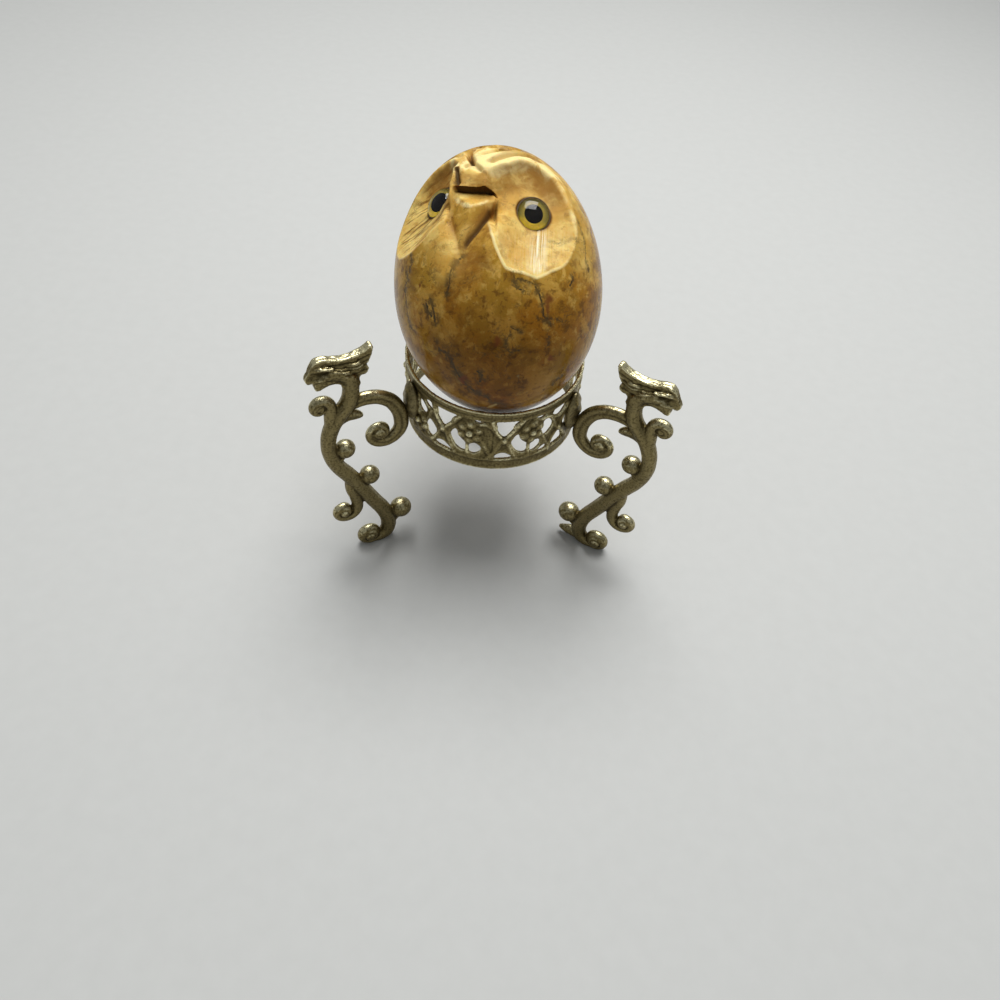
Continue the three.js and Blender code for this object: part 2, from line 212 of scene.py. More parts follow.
def select_back_edge():
    """Select the edge where the floor ends at the back."""
    corners = [corner.co.y > SHEET_SIZE / 2 and corner.co.z < 0.01 for corner in sheet.data.vertices]
    select_parts(sheet, "EDGE", [all(corners[i] for i in line.vertices) for line in sheet.data.edges])


sheet = add(bpy.ops.mesh.primitive_plane_add, "pale_sheet", size=SHEET_SIZE, location=(0, SHEET_SHIFT, 0))
select_back_edge()
extrude(0, 0, WALL)
stop_editing()
select_back_edge()
bpy.ops.mesh.bevel(offset=FOLD, segments=16)
stop_editing()
bpy.ops.object.shade_smooth()
print("sheet", len(sheet.data.polygons), "faces")

# %% [markdown]
# The materials are all made of nodes. The bench holds the tree of the finish that is being made. One
# helper adds a node to it, sets what is fixed and links what varies, so that each finish below reads as
# a list of steps.

# %% Helpers for materials
bench = {}


def new_finish(name):
    """Begin a finish; gives it, the inputs of its shader and the coordinates of the object."""
    finish = bpy.data.materials.new(name)
    finish.use_nodes = True
    bench["tree"] = finish.node_tree
    shader = finish.node_tree.nodes["Principled BSDF"]
    return finish, shader.inputs, node("TexCoord").outputs["Object"]


def connect(sockets, inputs):
    for name, value in inputs.items():
        if isinstance(value, bpy.types.NodeSocket):
            bench["tree"].links.new(value, sockets[name])
        elif sockets[name].type == "RGBA":
            sockets[name].default_value = (*value, 1.0)
        else:
            sockets[name].default_value = value


def node(kind, inputs=None, **settings):
    made = bench["tree"].nodes.new("ShaderNode" + kind)
    for name, value in settings.items():
        setattr(made, name, value)
    connect(made.inputs, inputs or {})
    return made


def mixed(amount, first, second, mode="MIX"):
    """Mix two colours by an amount that varies over the surface."""
    inputs = {0: amount, 6: first, 7: second}
    return node("Mix", inputs, data_type="RGBA", blend_type=mode).outputs[2]


def ramp(amount, low, high, start=0.0, end=1.0):
    """Stretch the part of a pattern between low and high to start and end."""
    inputs = {"Value": amount, "From Min": low, "From Max": high, "To Min": start, "To Max": end}
    return node("MapRange", inputs, interpolation_type="SMOOTHSTEP").outputs["Result"]


def layered(colour, layers):
    """Lay colours over one another, each by its own pattern and up to its own strength."""
    for pattern, low, high, most, over in layers:
        colour = mixed(ramp(pattern, low, high, 0.0, most), colour, over)
    return colour


def combine(operation, first, second):
    return node("Math", {0: first, 1: second}, operation=operation).outputs[0]


def times(first, second):
    return combine("MULTIPLY", first, second)


def plus(first, second):
    return combine("ADD", first, second)


def larger(first, second):
    return combine("MAXIMUM", first, second)


def noise(where, scale, detail=4.0, roughness=0.55, distortion=0.0, output="Fac"):
    inputs = {"Vector": where, "Scale": scale, "Detail": detail, "Roughness": roughness, "Distortion": distortion}
    return node("TexNoise", inputs).outputs[output]


def stored(name):
    return node("Attribute", attribute_name=name).outputs["Fac"]


def bump(height, strength, distance):
    return node("Bump", {"Height": height, "Strength": strength, "Distance": distance}).outputs["Normal"]

# %% [markdown]
# The sheet's finish is the simplest: a pale matt paper with a slight mottling.

# %% Sheet finish
sheet_finish, shader, where = new_finish("matt_pale_sheet")
paper = mixed(noise(where, 260.0, 3.0), (0.60, 0.605, 0.585), (0.64, 0.645, 0.625))
connect(shader, {"Base Color": paper, "Roughness": 0.7, "Specular IOR Level": 0.25})
sheet.data.materials.append(sheet_finish)
print("sheet finish of", len(sheet_finish.node_tree.nodes), "nodes")

# %% [markdown]
# The light is one soft lamp above and behind the owl, and a dim even room. That is what lets the tops of
# the casting shine, fills the scooped faces and leaves the belly of the egg in a warm half shade.

# %% Lights
LAMP_PLACE, LAMP_TILT, LAMP_SIZE, LAMP_POWER, ROOM_LIGHT = (0.03, 0.17, 0.63), -17, 0.46, 4.35, 0.24
lamp = add(bpy.ops.object.light_add, type="AREA", location=LAMP_PLACE, rotation=(math.radians(LAMP_TILT), 0, 0))
lamp.data.shape = "SQUARE"
lamp.data.size = LAMP_SIZE
lamp.data.energy = LAMP_POWER
world = bpy.data.worlds.new("dim_room")
bpy.context.scene.world = world
world.use_nodes = True
connect(world.node_tree.nodes["Background"].inputs, {"Color": (0.95, 0.98, 1.0), "Strength": ROOM_LIGHT})
bpy.context.scene.view_settings.view_transform = "Standard"
print("lamp", lamp.data.energy, "W")

# %% [markdown]
# Alabaster is cloudy honey, olive and amber, crossed by thin broken veins, with small rusty spots and
# pale crystals. Clouds come from noise at several sizes. The main veins are drawn on the egg as paths,
# and the finish reads how far each point is from them and frays the line with noise. Finer hairlines
# are the places where another noise passes its middle value. The knife left the carved faces paler and
# duller than the polished egg, and their edges are worn to cream. The cream edges and pale tops are also
# painted highlight where they face the light, and the deep cuts and hollows are darkened with painted
# shade, partly dirt. All of that is stored on the piece too.

# %% Patterns of the alabaster
alabaster, shader, where = new_finish("honey_alabaster")
# Marks stored on the owl: the carved faces, cream wear that is partly painted highlight, painted shade with some dirt,
# and the tool's lines.
carved, wear_and_highlight, dirt_and_shade, raked = (stored(name) for name in ("carved", "wear_and_highlight", "dirt_and_shade", "raked"))
push = noise(where, 90.0, 4.0, output="Color")


def swayed(reach):
    """Coordinates pushed to and fro, which bends the patterns that use them."""
    far = node("VectorMath", {0: push, 1: (reach, reach, reach)}, operation="MULTIPLY").outputs[0]
    return node("VectorMath", {0: where, 1: far}, operation="ADD").outputs[0]


def streaks(turns, thin, long, detail):
    """Noise drawn out into lines, in a direction given by turns about Z, X and Z on the owl."""
    turn = OWL_TILT
    for degrees, axis in zip(turns, "ZXZ"):
        turn = turn @ spin(degrees, axis)
    inputs = {"Vector": where, "Rotation": turn.to_euler(), "Scale": (thin, long, long)}
    return noise(node("Mapping", inputs, vector_type="TEXTURE").outputs[0], 1.0, detail, 0.6)


bent, eased = swayed(0.014), swayed(0.005)
patches = noise(bent, 62.0, 4.0)
clouds = noise(bent, 150.0, 6.0, 0.62)
shade = noise(where, 105.0, 6.0, 0.66, 0.5)
mottle = noise(eased, 430.0, 5.0, 0.65)
flecks = noise(eased, 1150.0, 4.0, 0.65)
strokes = streaks((-54, 57, -55), 0.0006, 0.007, 4.0)
scratches = streaks((25.5, 67.3, -18), 0.00022, 0.009, 3.0)
fray = noise(where, 900.0, 4.0, 0.65)
gap = plus(stored("vein_gap"), times(combine("SUBTRACT", fray, 0.5), 5.0))
line = times(ramp(gap, 1.3, 0.3), ramp(mottle, 0.34, 0.5, 0.5, 0.95))
smear = times(ramp(gap, 9.0, 1.0, 0.0, 0.8), ramp(fray, 0.42, 0.58))
middle = combine("SUBTRACT", noise(bent, 210.0, 6.0, 0.6), 0.5)
ridge = node("Math", {0: middle}, operation="ABSOLUTE").outputs[0]
hair = times(ramp(ridge, 0.016, 0.002), ramp(noise(where, 130.0, 3.0), 0.50, 0.60, 0.0, 0.5))
veins = times(larger(larger(line, smear), hair), ramp(carved, 0.2, 1.0, 1.0, 0.5))
cells = node("TexVoronoi", {"Vector": bent, "Scale": 300.0}, feature="F1").outputs
pick = node("SeparateColor", {"Color": cells["Color"]}).outputs[0]
rusty = times(ramp(cells["Distance"], 0.40, 0.12), combine("LESS_THAN", pick, 0.09))
glassy = times(ramp(cells["Distance"], 0.30, 0.10), combine("GREATER_THAN", pick, 0.965))
print("patterns of", len(alabaster.node_tree.nodes), "nodes")

# %% [markdown]
# With the patterns ready, the colours are laid over one another: first the clouds of the stone, darkened
# towards the bottom of the egg as painted shade, then the paler stone of the carved faces, then cream wear
# that is partly painted highlight, painted shade with some dirt, veins, spots and the tool's scratches.

# %% Colours of the alabaster
stone = mixed(ramp(patches, 0.38, 0.58), (0.475, 0.216, 0.020), (0.44, 0.243, 0.028))
stone = layered(stone, [
    (clouds, 0.49, 0.62, 0.75, (0.70, 0.41, 0.078)), (mottle, 0.53, 0.66, 0.7, (0.78, 0.50, 0.12)),
    (shade, 0.49, 0.36, 0.7, (0.20, 0.084, 0.012)), (mottle, 0.46, 0.34, 0.75, (0.17, 0.076, 0.011)),
    (flecks, 0.43, 0.30, 0.55, (0.15, 0.070, 0.011)),
])
# Painted shade: the stone is darker towards the bottom of the egg, most at the front.
stone = mixed(stored("low"), stone, (0.45, 0.33, 0.19), "MULTIPLY")
pale = mixed(ramp(clouds, 0.36, 0.62), (0.70, 0.405, 0.085), (0.88, 0.65, 0.21))
pale = layered(pale, [
    (patches, 0.52, 0.40, 0.6, (0.60, 0.345, 0.085)), (mottle, 0.48, 0.30, 0.6, (0.42, 0.21, 0.04)),
    (flecks, 0.42, 0.30, 0.5, (0.36, 0.18, 0.04)),
])
stone = mixed(ramp(carved, 0.0, 0.9, 0.0, 0.9), stone, pale)
stone = mixed(times(stored("brushed"), ramp(strokes, 0.52, 0.39, 0.0, 0.85)), stone, (0.18, 0.085, 0.020))
# Cream wear on edges and tops, partly painted highlight; then painted shade with some dirt in cuts, hollows and round
# the eyes, darkest where deepest.
stone = layered(stone, [
    (times(wear_and_highlight, ramp(clouds, 0.32, 0.54, 0.3, 1.0)), 0.1, 0.9, 0.9, (1.0, 0.82, 0.38)),
    (times(dirt_and_shade, ramp(clouds, 0.62, 0.40, 0.65, 1.0)), 0.0, 0.9, 0.9, (0.26, 0.112, 0.020)),
    (dirt_and_shade, 0.68, 1.0, 0.85, (0.045, 0.020, 0.006)),
])
for amount, colour in (
    (veins, (0.055, 0.042, 0.020)), (times(rusty, 0.8), (0.17, 0.045, 0.012)), (times(glassy, 0.4), (0.72, 0.54, 0.22)),
    (times(raked, ramp(scratches, 0.38, 0.58, 0.0, 0.95)), (1.0, 0.92, 0.66)),
    (times(raked, ramp(scratches, 0.47, 0.34, 0.0, 0.5)), (0.42, 0.21, 0.05)),
):
    stone = mixed(amount, stone, colour)
dull = larger(carved, dirt_and_shade)
pits = combine("SUBTRACT", noise(where, 900.0, 3.0, 0.6), times(veins, 1.2))
connect(shader, {
    "Base Color": stone, "IOR": 1.54, "Specular IOR Level": ramp(dull, 0.1, 0.7, 0.13, 0.04),
    "Roughness": plus(ramp(dull, 0.05, 0.7, 0.15, 0.36), ramp(mottle, 0.3, 0.7, 0.0, 0.08)),
    "Subsurface Weight": 0.15, "Subsurface Radius": (1.0, 0.45, 0.15), "Subsurface Scale": 0.0015,
    "Normal": bump(plus(pits, times(times(raked, scratches), 2.5)), 0.2, 0.0003),
})
print("alabaster of", len(alabaster.node_tree.nodes), "nodes")

# %% [markdown]
# The casting is brass with an antiqued skin: olive brown in the hollows, rubbed bright on the ridges, and
# grainy all over from the sand or plaster that it was poured in. The piece stores how far each point
# stands above its surroundings and how far it faces up, and the finish mixes dark and bright metal by
# both: the first is rubbed wear, the second is painted highlight on the tops that face the light.

# %% Brass finishes
BRASS_ROUGHNESS = 0.42


def brass_finish(name, dark, middle, bright):
    finish, shader, where = new_finish(name)
    stain = noise(where, 330.0, 5.0, 0.6)
    grain = noise(where, 2300.0, 3.0, 0.6)
    # Rubbed wear on the ridges, plus painted highlight on the tops that face up.
    rub_and_highlight = plus(stored("relief"), times(stored("top"), 0.14))
    for pattern, share in ((stain, 0.20), (grain, 0.16)):
        rub_and_highlight = plus(rub_and_highlight, times(combine("SUBTRACT", pattern, 0.5), share))
    metal = mixed(ramp(rub_and_highlight, -0.14, 0.06), dark, middle)
    metal = layered(metal, [(rub_and_highlight, 0.10, 0.26, 1.0, bright), (grain, 0.50, 0.36, 0.6, dark)])
    sheen = ramp(rub_and_highlight, -0.1, 0.22, BRASS_ROUGHNESS + 0.12, BRASS_ROUGHNESS - 0.12)
    connect(shader, {
        "Base Color": metal, "Metallic": 1.0, "Roughness": plus(sheen, ramp(grain, 0.3, 0.7, 0.08, -0.04)),
        "Normal": bump(plus(grain, times(stain, 0.7)), 0.5, 0.0002),
    })
    return finish


antique_brass = brass_finish("rubbed_and_highlit_brass", (0.072, 0.054, 0.021), (0.25, 0.20, 0.088), (0.90, 0.82, 0.50))
solder_skin = brass_finish("solder_skin", (0.09, 0.07, 0.032), (0.25, 0.205, 0.10), (0.60, 0.54, 0.33))
print("brass of", len(antique_brass.node_tree.nodes), "nodes")

# %% [markdown]
# The eyes are glass domes with the iris and pupil painted behind them and a line of dark cement round
# them. The dome is plain clear glass, and the iris fades from amber at the pupil to olive at its rim,
# which the piece stores as its distance from the middle. The lower part of the iris is brightened to
# yellow: painted light, where the dome would gather the light from above.

# %% Eye finishes
clear_glass, shader, where = new_finish("clear_glass")
connect(shader, {
    "Base Color": (1.0, 0.985, 0.94), "Roughness": ramp(noise(where, 700.0), 0.3, 0.7, 0.0, 0.04),
    "Transmission Weight": 1.0, "IOR": 1.46,
})

iris_paint, shader, where = new_finish("amber_iris")
across = stored("across")
paint = mixed(ramp(across, 0.52, 0.80), (0.58, 0.44, 0.08), (0.24, 0.20, 0.045))
paint = layered(paint, [
    # Painted light on the lower part of the iris, then the dark rim of the iris.
    (stored("low"), 0.10, 0.65, 1.0, (1.0, 0.68, 0.06)), (across, 0.76, 0.93, 1.0, (0.05, 0.035, 0.012)),
    (noise(where, 1500.0, 3.0), 0.4, 0.7, 0.25, (0.32, 0.24, 0.03)),
])
connect(shader, {"Base Color": paint, "Roughness": 0.6, "Specular IOR Level": 0.0})

pupil_paint, shader, where = new_finish("black_pupil")
paint = mixed(noise(where, 1800.0), (0.004, 0.0035, 0.003), (0.012, 0.010, 0.008))
connect(shader, {"Base Color": paint, "Roughness": 0.8, "Specular IOR Level": 0.0})

eye_cement, shader, where = new_finish("dark_cement")
cement = mixed(noise(where, 1200.0), (0.055, 0.032, 0.012), (0.16, 0.10, 0.04))
connect(shader, {"Base Color": cement, "Roughness": 0.6})
print("eye finishes:", [finish.name for finish in (clear_glass, iris_paint, pupil_paint, eye_cement)])

# %% [markdown]
# ## The carved owl
# The carver began with an egg, so the owl begins with one too. A cube that is subdivided and pushed
# out to a sphere has even faces and no poles, and scaling its upper and lower halves differently makes
# it an egg. The front is divided once more, because the face is there.

# %% Turn a cube into the egg
EGG_RADIUS, EGG_CROWN, EGG_BASE = 20.6, 26.9, 24.5
FRONT, FRONT_EDGE = np.array([-0.08, -0.90, 0.34]), 0.18


def half_sizes(where):
    """Half the egg's width, depth and height at each place, as its upper and lower halves differ."""
    return np.where(where[..., 2:] > 0, (EGG_RADIUS, EGG_RADIUS, EGG_CROWN), (EGG_RADIUS, EGG_RADIUS, EGG_BASE))


def on_sphere(piece):
    points = points_of(piece)
    return points / np.linalg.norm(points, axis=1)[:, None]


owl = add(bpy.ops.mesh.primitive_cube_add, "carved_owl", size=2)
edit_all()
bpy.ops.mesh.subdivide(number_cuts=54)
bpy.ops.transform.tosphere(value=1.0)
stop_editing()
move_points(owl, on_sphere(owl))
centres = np.array([polygon.center for polygon in owl.data.polygons])
select_parts(owl, "FACE", centres @ (FRONT / np.linalg.norm(FRONT)) > FRONT_EDGE)
bpy.ops.mesh.subdivide(number_cuts=2)
stop_editing()
points = on_sphere(owl)
egg = points * half_sizes(points)
print("egg", len(owl.data.polygons), "faces")

# %% [markdown]
# Carving is taking away, so each cut below is a rule that says how far it presses a point in. There are
# three tools. A scoop hollows the inside of an outline, a gouge cuts along a path and has its own slope on
# each side of it, and a chisel takes the inside of an outline down to a flat. Places are written as turn
# and rise in degrees, as on a globe, and right and left of a path are as one walks along it. What the
# finish has to know, such as worn edges that are also painted highlight, and painted shade with some dirt
# in the cuts, is marked on the points along the way.

# %% Tools of the carver
def way_to(turn, rise):
    turn, rise = np.radians(turn), np.radians(rise)
    return np.array([np.cos(rise) * np.cos(turn), np.cos(rise) * np.sin(turn), np.sin(rise)])


def on_egg(turn, rise):
    way = way_to(turn, rise)
    reach = EGG_CROWN if way[2] > 0 else EGG_BASE
    return way / np.hypot(np.hypot(way[0], way[1]) / EGG_RADIUS, way[2] / reach)


def outward_at(where):
    """Direction straight out of the egg's surface."""
    out = where / half_sizes(where) ** 2
    return out / np.linalg.norm(out, axis=-1, keepdims=True)


def soft_step(amount):
    amount = np.clip(amount, 0.0, 1.0)
    return amount * amount * (3 - 2 * amount)


def facing(turn, rise):
    """Across, up and outward directions of a flat that faces this way."""
    out = way_to(turn, rise)
    across = np.cross((0, 0, 1), out)
    across /= np.linalg.norm(across)
    return np.array([across, np.cross(out, across), out])


def within(rim, flat):
    """How far out each point lies towards the outline: its share, the outline's distance and the bearing."""
    order = np.argsort(np.arctan2(rim[:, 1], rim[:, 0]))
    bearing = np.arctan2(flat[:, 1], flat[:, 0])
    bearings = np.arctan2(rim[:, 1], rim[:, 0])[order]
    reach = np.interp(bearing, bearings, np.hypot(*rim.T)[order], period=2 * np.pi)
    return np.hypot(flat[:, 0], flat[:, 1]) / reach, reach, bearing


def along_path(path):
    """Distance of each point from a path on the egg, the side it lies on, and how far along it is."""
    knots = np.array([on_egg(*place) for place in path])
    lengths = np.linalg.norm(np.diff(knots, axis=0), axis=1)
    total = lengths.sum()
    nearest = np.full(len(egg), 1e9)
    side, share = np.zeros(len(egg)), np.zeros(len(egg))
    run = 0.0
    for start, end, length in zip(knots[:-1], knots[1:], lengths):
        way = (end - start) / length
        t = np.clip((egg - start) @ way, 0, length)
        apart = egg - (start + t[:, None] * way)
        far = np.linalg.norm(apart, axis=1)
        better = far < nearest
        nearest[better] = far[better]
        right = np.cross(way, start / np.linalg.norm(start))
        side[better] = np.sign(apart @ right)[better]
        share[better] = ((run + t) / total)[better]
        run += length
    return nearest, side, share


def taper(ends, share):
    first, last = ends if isinstance(ends, tuple) else (ends, ends)
    return first + (last - first) * share


def gouge(path, depth, right, left, fade, bow):
    """Depth of a cut along a path, and a mask along its bottom, where painted shade and dirt go."""
    near, side, share = along_path(path)
    reach = np.where(side > 0, taper(right, share), taper(left, share))
    ends = soft_step(share / fade[0]) * soft_step((1 - share) / fade[1])
    slope = np.clip(1 - near / reach, 0, 1) ** np.where(side > 0, *bow)
    bottom = ends * np.exp(-(near / (0.22 + 0.14 * np.minimum(reach, 3.0))) ** 2)
    return taper(depth, share) * ends * slope, bottom


def chisel(outline, drop):
    """Depth that brings the inside of an outline down to the flat through its corners, and its direction."""
    corners = np.array([on_egg(*place) for place in outline])
    middle = corners.mean(axis=0)
    across, _, out = np.linalg.svd(corners - middle)[2]
    out = out * np.sign(out @ middle)
    axes = np.array([across, np.cross(out, across), out]).T
    flat = (egg - middle) @ axes
    share, reach, _ = within(((corners - middle) @ axes)[:, :2], flat)
    return np.clip(flat[:, 2] + drop, 0, None) * soft_step((1 - share) * reach / 0.45) * (egg @ out > 0), out


def mark(name, amount):
    """Mark the points for the finish, where this amount is more than what they have already."""
    marks[name] = np.maximum(marks[name], amount)


outward = outward_at(egg)
turn_of = np.degrees(np.arctan2(egg[:, 1], egg[:, 0]))
pressed = np.zeros_like(egg)
marks = {name: np.zeros(len(egg)) for name in ("carved", "wear_and_highlight", "dirt_and_shade")}
print("tools ready for", len(egg), "points")

# %% [markdown]
# The right disc is the larger and faces the viewer; its lower edge has the corners that separate chisel
# strokes leave. The left one is flatter and turned away. Each is a bowl inside its outline, steeper at the
# top, where the brow overhangs it, and just so deep that the eye sits on its floor. The rim is cream, worn
# to a broad band above and on the right, which is also painted highlight where it faces the light, and to
# a narrow one at the lower left. The upper part of the bowl, under the brow, is darkened with painted shade.

# %% Scoop the two facial discs
DISCS = {
    "right": {
        "facing": (-64.5, 22.7), "middle": (0.3, 4.6), "eye": (1.05, 5.3, 18.33), "gaze": (-73, 13.5),
        "wear": 1.0, "inner": -1.2,
        "outline": [(-90.1, 56.5), (-82.8, 58.8), (-74.7, 59.8), (-58.7, 62.3), (-46.8, 58.8), (-39.4, 53.3),
                    (-37.6, 45.9), (-38.3, 36.3), (-39.1, 27.8), (-40.2, 23), (-43, 17.9), (-47.7, 11.6),
                    (-53.2, 6.7), (-61.4, 4), (-69.4, 0.9), (-76.5, 3.7), (-84.5, 6), (-87.8, 13.4),
                    (-90, 20.8), (-91.5, 27), (-93, 31), (-94.6, 40.3), (-94.6, 46.2), (-92.8, 52)],
    },
    "left": {
        "facing": (-144, 33), "middle": (-0.4, 5), "eye": (0.2, 6.6, 19.02), "gaze": (-137.5, 30),
        "wear": 0.5, "inner": 1.2,
        "outline": [(-122.8, 64.8), (-122.4, 59.1), (-119.4, 50.7), (-117.2, 43.4), (-117.6, 35.2), (-121.4, 29.4),
                    (-128.4, 24.8), (-136.4, 20), (-144.8, 17.4), (-154, 17), (-163, 20.5), (-171, 29),
                    (-174.5, 39), (-172, 50), (-164, 59), (-150, 65), (-136, 67.5)],
    },
}
for disc in DISCS.values():
    axes = facing(*disc["facing"])
    flat = egg @ axes.T
    rim = np.array([on_egg(*place) for place in disc["outline"]]) @ axes[:2].T - disc["middle"]
    share, reach, bearing = within(rim, flat[:, :2] - disc["middle"])
    share = np.where(flat[:, 2] > 0, share, 9.0)
    beyond = (share - 1.0) * reach
    broad = np.clip(0.75 * np.sin(bearing + 0.7), 0, 1)
    bowl = 1 - np.minimum(share, 2.0) ** (2 + 2.0 * np.clip(np.sin(bearing), 0, 1))
    off = np.hypot(flat[:, 0] - disc["eye"][0], flat[:, 1] - disc["eye"][1])
    eye = np.argmin(off + np.where(flat[:, 2] > 0, 0, 99))
    deepest = (flat[eye, 2] - disc["eye"][2]) / bowl[eye]
    soft = 0.0016 + 0.018 * broad
    bowl = np.clip(0.5 * (bowl + np.sqrt(bowl * bowl + soft)) - 0.5 * np.sqrt(soft), 0, None)
    pressed -= (deepest * bowl)[:, None] * axes[2]
    # Pale and cream past the rim above and on the right: wear, and painted highlight where the brow faces the light.
    mark("carved", soft_step((0.15 + 2.6 * broad - beyond) / (0.5 + 2.4 * broad)))
    inner = np.clip(disc["inner"] * np.cos(bearing) + 0.25, 0, 1) * np.clip(np.sin(bearing) + 0.5, 0, 1)
    band = 0.55 + 1.5 * broad - np.abs(beyond - 0.3 * broad)
    crisp = np.minimum(0.35 + 0.55 * np.clip(-np.sin(bearing + 0.7), 0, 1) + 0.8 * broad, 1)
    mark("wear_and_highlight", disc["wear"] * crisp * (1 - inner) * soft_step(band / (0.5 + 1.4 * broad)))
    # Painted shade in the upper part of the bowl, under the brow.
    bowl_shade = soft_step((share - 0.30) / 0.35) * soft_step((0.1 - beyond) / 1.0)
    mark("dirt_and_shade", 0.67 * bowl_shade * np.clip(np.sin(bearing + 0.3) + 0.15, 0, 1))
    disc.update(flat=flat, share=share, axes=axes)
    print("disc pressed in", round(float(deepest), 2), "mm")

# %% [markdown]
# Between the discs stands the beak. The carver cut all round it, so here the strokes go right through its
# place. Above its top a slit runs in under the forehead, and short cuts part the brows from the crown.
# Each stroke has its path, its depth, how far it slopes to the right and to the left, how its ends fade,
# how its slopes bow, how much painted shade and dirt lie in it, and how pale it is.

# %% Cut round the beak, the forehead and the brows
FLATS = [
    ([(-117.4, 56.9), (-113.3, 58.6), (-103.8, 59.9), (-95, 55.5), (-90.9, 51.1), (-90, 46.6), (-94.8, 46.8),
      (-101.5, 47.6), (-107.6, 48.2), (-113.7, 47.9)], 0.15),
    ([(-130.5, 62.8), (-128.2, 67.9), (-122.7, 70.7), (-113, 67.5), (-106.5, 61.2), (-116.5, 59.8)], 0.1),
]
SLIT = [(-117.1, 47.2), (-110.9, 46.5), (-104.8, 46.1), (-98.8, 45.8), (-92.8, 45.5), (-86.6, 45), (-82.2, 44.4)]
RIGHT_CREASE = [(-81.8, 43.6), (-86, 40.2), (-90.7, 36), (-95.8, 30.2), (-99.9, 25.3), (-103.9, 20.6),
                (-106.8, 15.5), (-108.6, 9.5), (-109.5, 3)]
LEFT_CREASE = [(-119.1, 45.3), (-120, 39.8), (-117.2, 33.9), (-113.5, 27.9), (-110.9, 22.5), (-108.9, 16.4),
               (-108.6, 9.5), (-109.5, 3)]
STROKES = {
    "slit": (SLIT, (1.5, 3.2), 9, 0.3, (0.08, 0.06), (1, 1), 0, 0),
    "beak right": (RIGHT_CREASE, (1.7, 1.5), (9, 4), (2.4, 6), (0.15, 0.55), (1, 1.3), 0.9, 0),
    "beak left": (LEFT_CREASE, (1.3, 1.2), (0.9, 6), (9, 4), (0.15, 0.55), (1.7, 1), 0.55, 0.1),
    "beside the beak": ([(-85, 52), (-82, 46), (-84.5, 40), (-89.5, 33.5), (-93.5, 29)],
                        0.8, 3.6, 3.6, (0.25, 0.3), (1.3, 1.5), 0.35, 0),
    "forehead left": ([(-119.2, 59.4), (-116, 54.6), (-113.2, 50.6), (-114.6, 48.2)],
                      0.8, 0.9, 0.7, (0.15, 0.1), (1, 1), 0.8, 0.1),
    "under the brow": ([(-114.6, 59.7), (-105, 61.7), (-99, 58.4), (-94, 54.8)],
                       0.8, 1.8, 0.3, (0.1, 0.25), (1.4, 1), 0.6, 0.3),
    "cleft": ([(-104.6, 60.6), (-107.5, 63.2), (-113, 67.5), (-118.7, 71.2), (-126, 74), (-140, 76.5)],
              1.6, 0.9, 0.7, (0.08, 0.35), (1, 1), 1, 0.2),
    "lobe": ([(-116, 70), (-122, 75.5), (-112, 78), (-96.5, 74.9)], 1.4, 1.2, 0.8, (0.1, 0.3), (1, 1), 0.9, 0.3),
    "above the brow": ([(-91.4, 59.7), (-86.8, 62.4), (-80.8, 64), (-70.6, 66.3), (-57.8, 67.2), (-45.5, 66),
                        (-37.5, 60.5)], (1.0, 0.9), 1.3, 0.5, (0.12, 0.3), (1.5, 0.8), 0.6, 0.6),
    "crown line": ([(-104.6, 67.9), (-95.2, 69.4), (-82, 71.4), (-68.3, 72), (-56.5, 71)],
                   0.9, 1.5, 0.5, (0.2, 0.3), (1.4, 1), 0.6, 0.4),
    "upper line": ([(-93.4, 74.4), (-74.8, 77.1), (-54.5, 75.1), (-45, 70.3)],
                   0.8, 1.5, 0.5, (0.2, 0.3), (1.4, 1), 0.4, 0.4),
    "left brow": ([(-122, 69), (-135, 71.2), (-150, 69.6), (-165, 64)], 0.7, 0.9, 1, (0.2, 0.2), (1, 1), 0.4, 0.3),
}
for outline, drop in FLATS:
    depth, out = chisel(outline, drop)
    pressed -= depth[:, None] * out
    mark("carved", 0.6 * soft_step(depth / 0.25))
# Each stroke cuts, pales its faces and lays painted shade, with some dirt, along its bottom.
for *stroke, dirt_and_shade_level, pale in STROKES.values():
    cut, bottom = gouge(*stroke)
    pressed -= cut[:, None] * outward
    mark("carved", pale * soft_step(cut / 0.5))
    mark("dirt_and_shade", dirt_and_shade_level * bottom)
print(len(FLATS), "flats and", len(STROKES), "strokes")

# %% [markdown]
# The beak is a small pyramid with three flats: a level top that catches the light, and a left and a right
# face. Its corners are given by how deep they lie below the egg, and the points inside its outline are
# raised back onto the lowest of the flats. Then the lips of the slit are pulled up, so that it runs in
# under the forehead, and painted shade, with some dirt, is laid in the slit and in the creases.

# %% Raise the beak and tuck in the slit
APEX, TIP = (-102.7, 37.9, 0.7), (-108.1, 12.6, 0.9)
BEAK = [[(-116.2, 47.3, 1.2), (-86.6, 45, 2.5), APEX], [APEX, (-89, 37.8, 2.5), TIP], [APEX, (-119.6, 39, 1.8), TIP]]


def under(turn, rise, depth):
    """The point this deep below a place on the egg."""
    place = on_egg(turn, rise)
    return place - depth * outward_at(place)


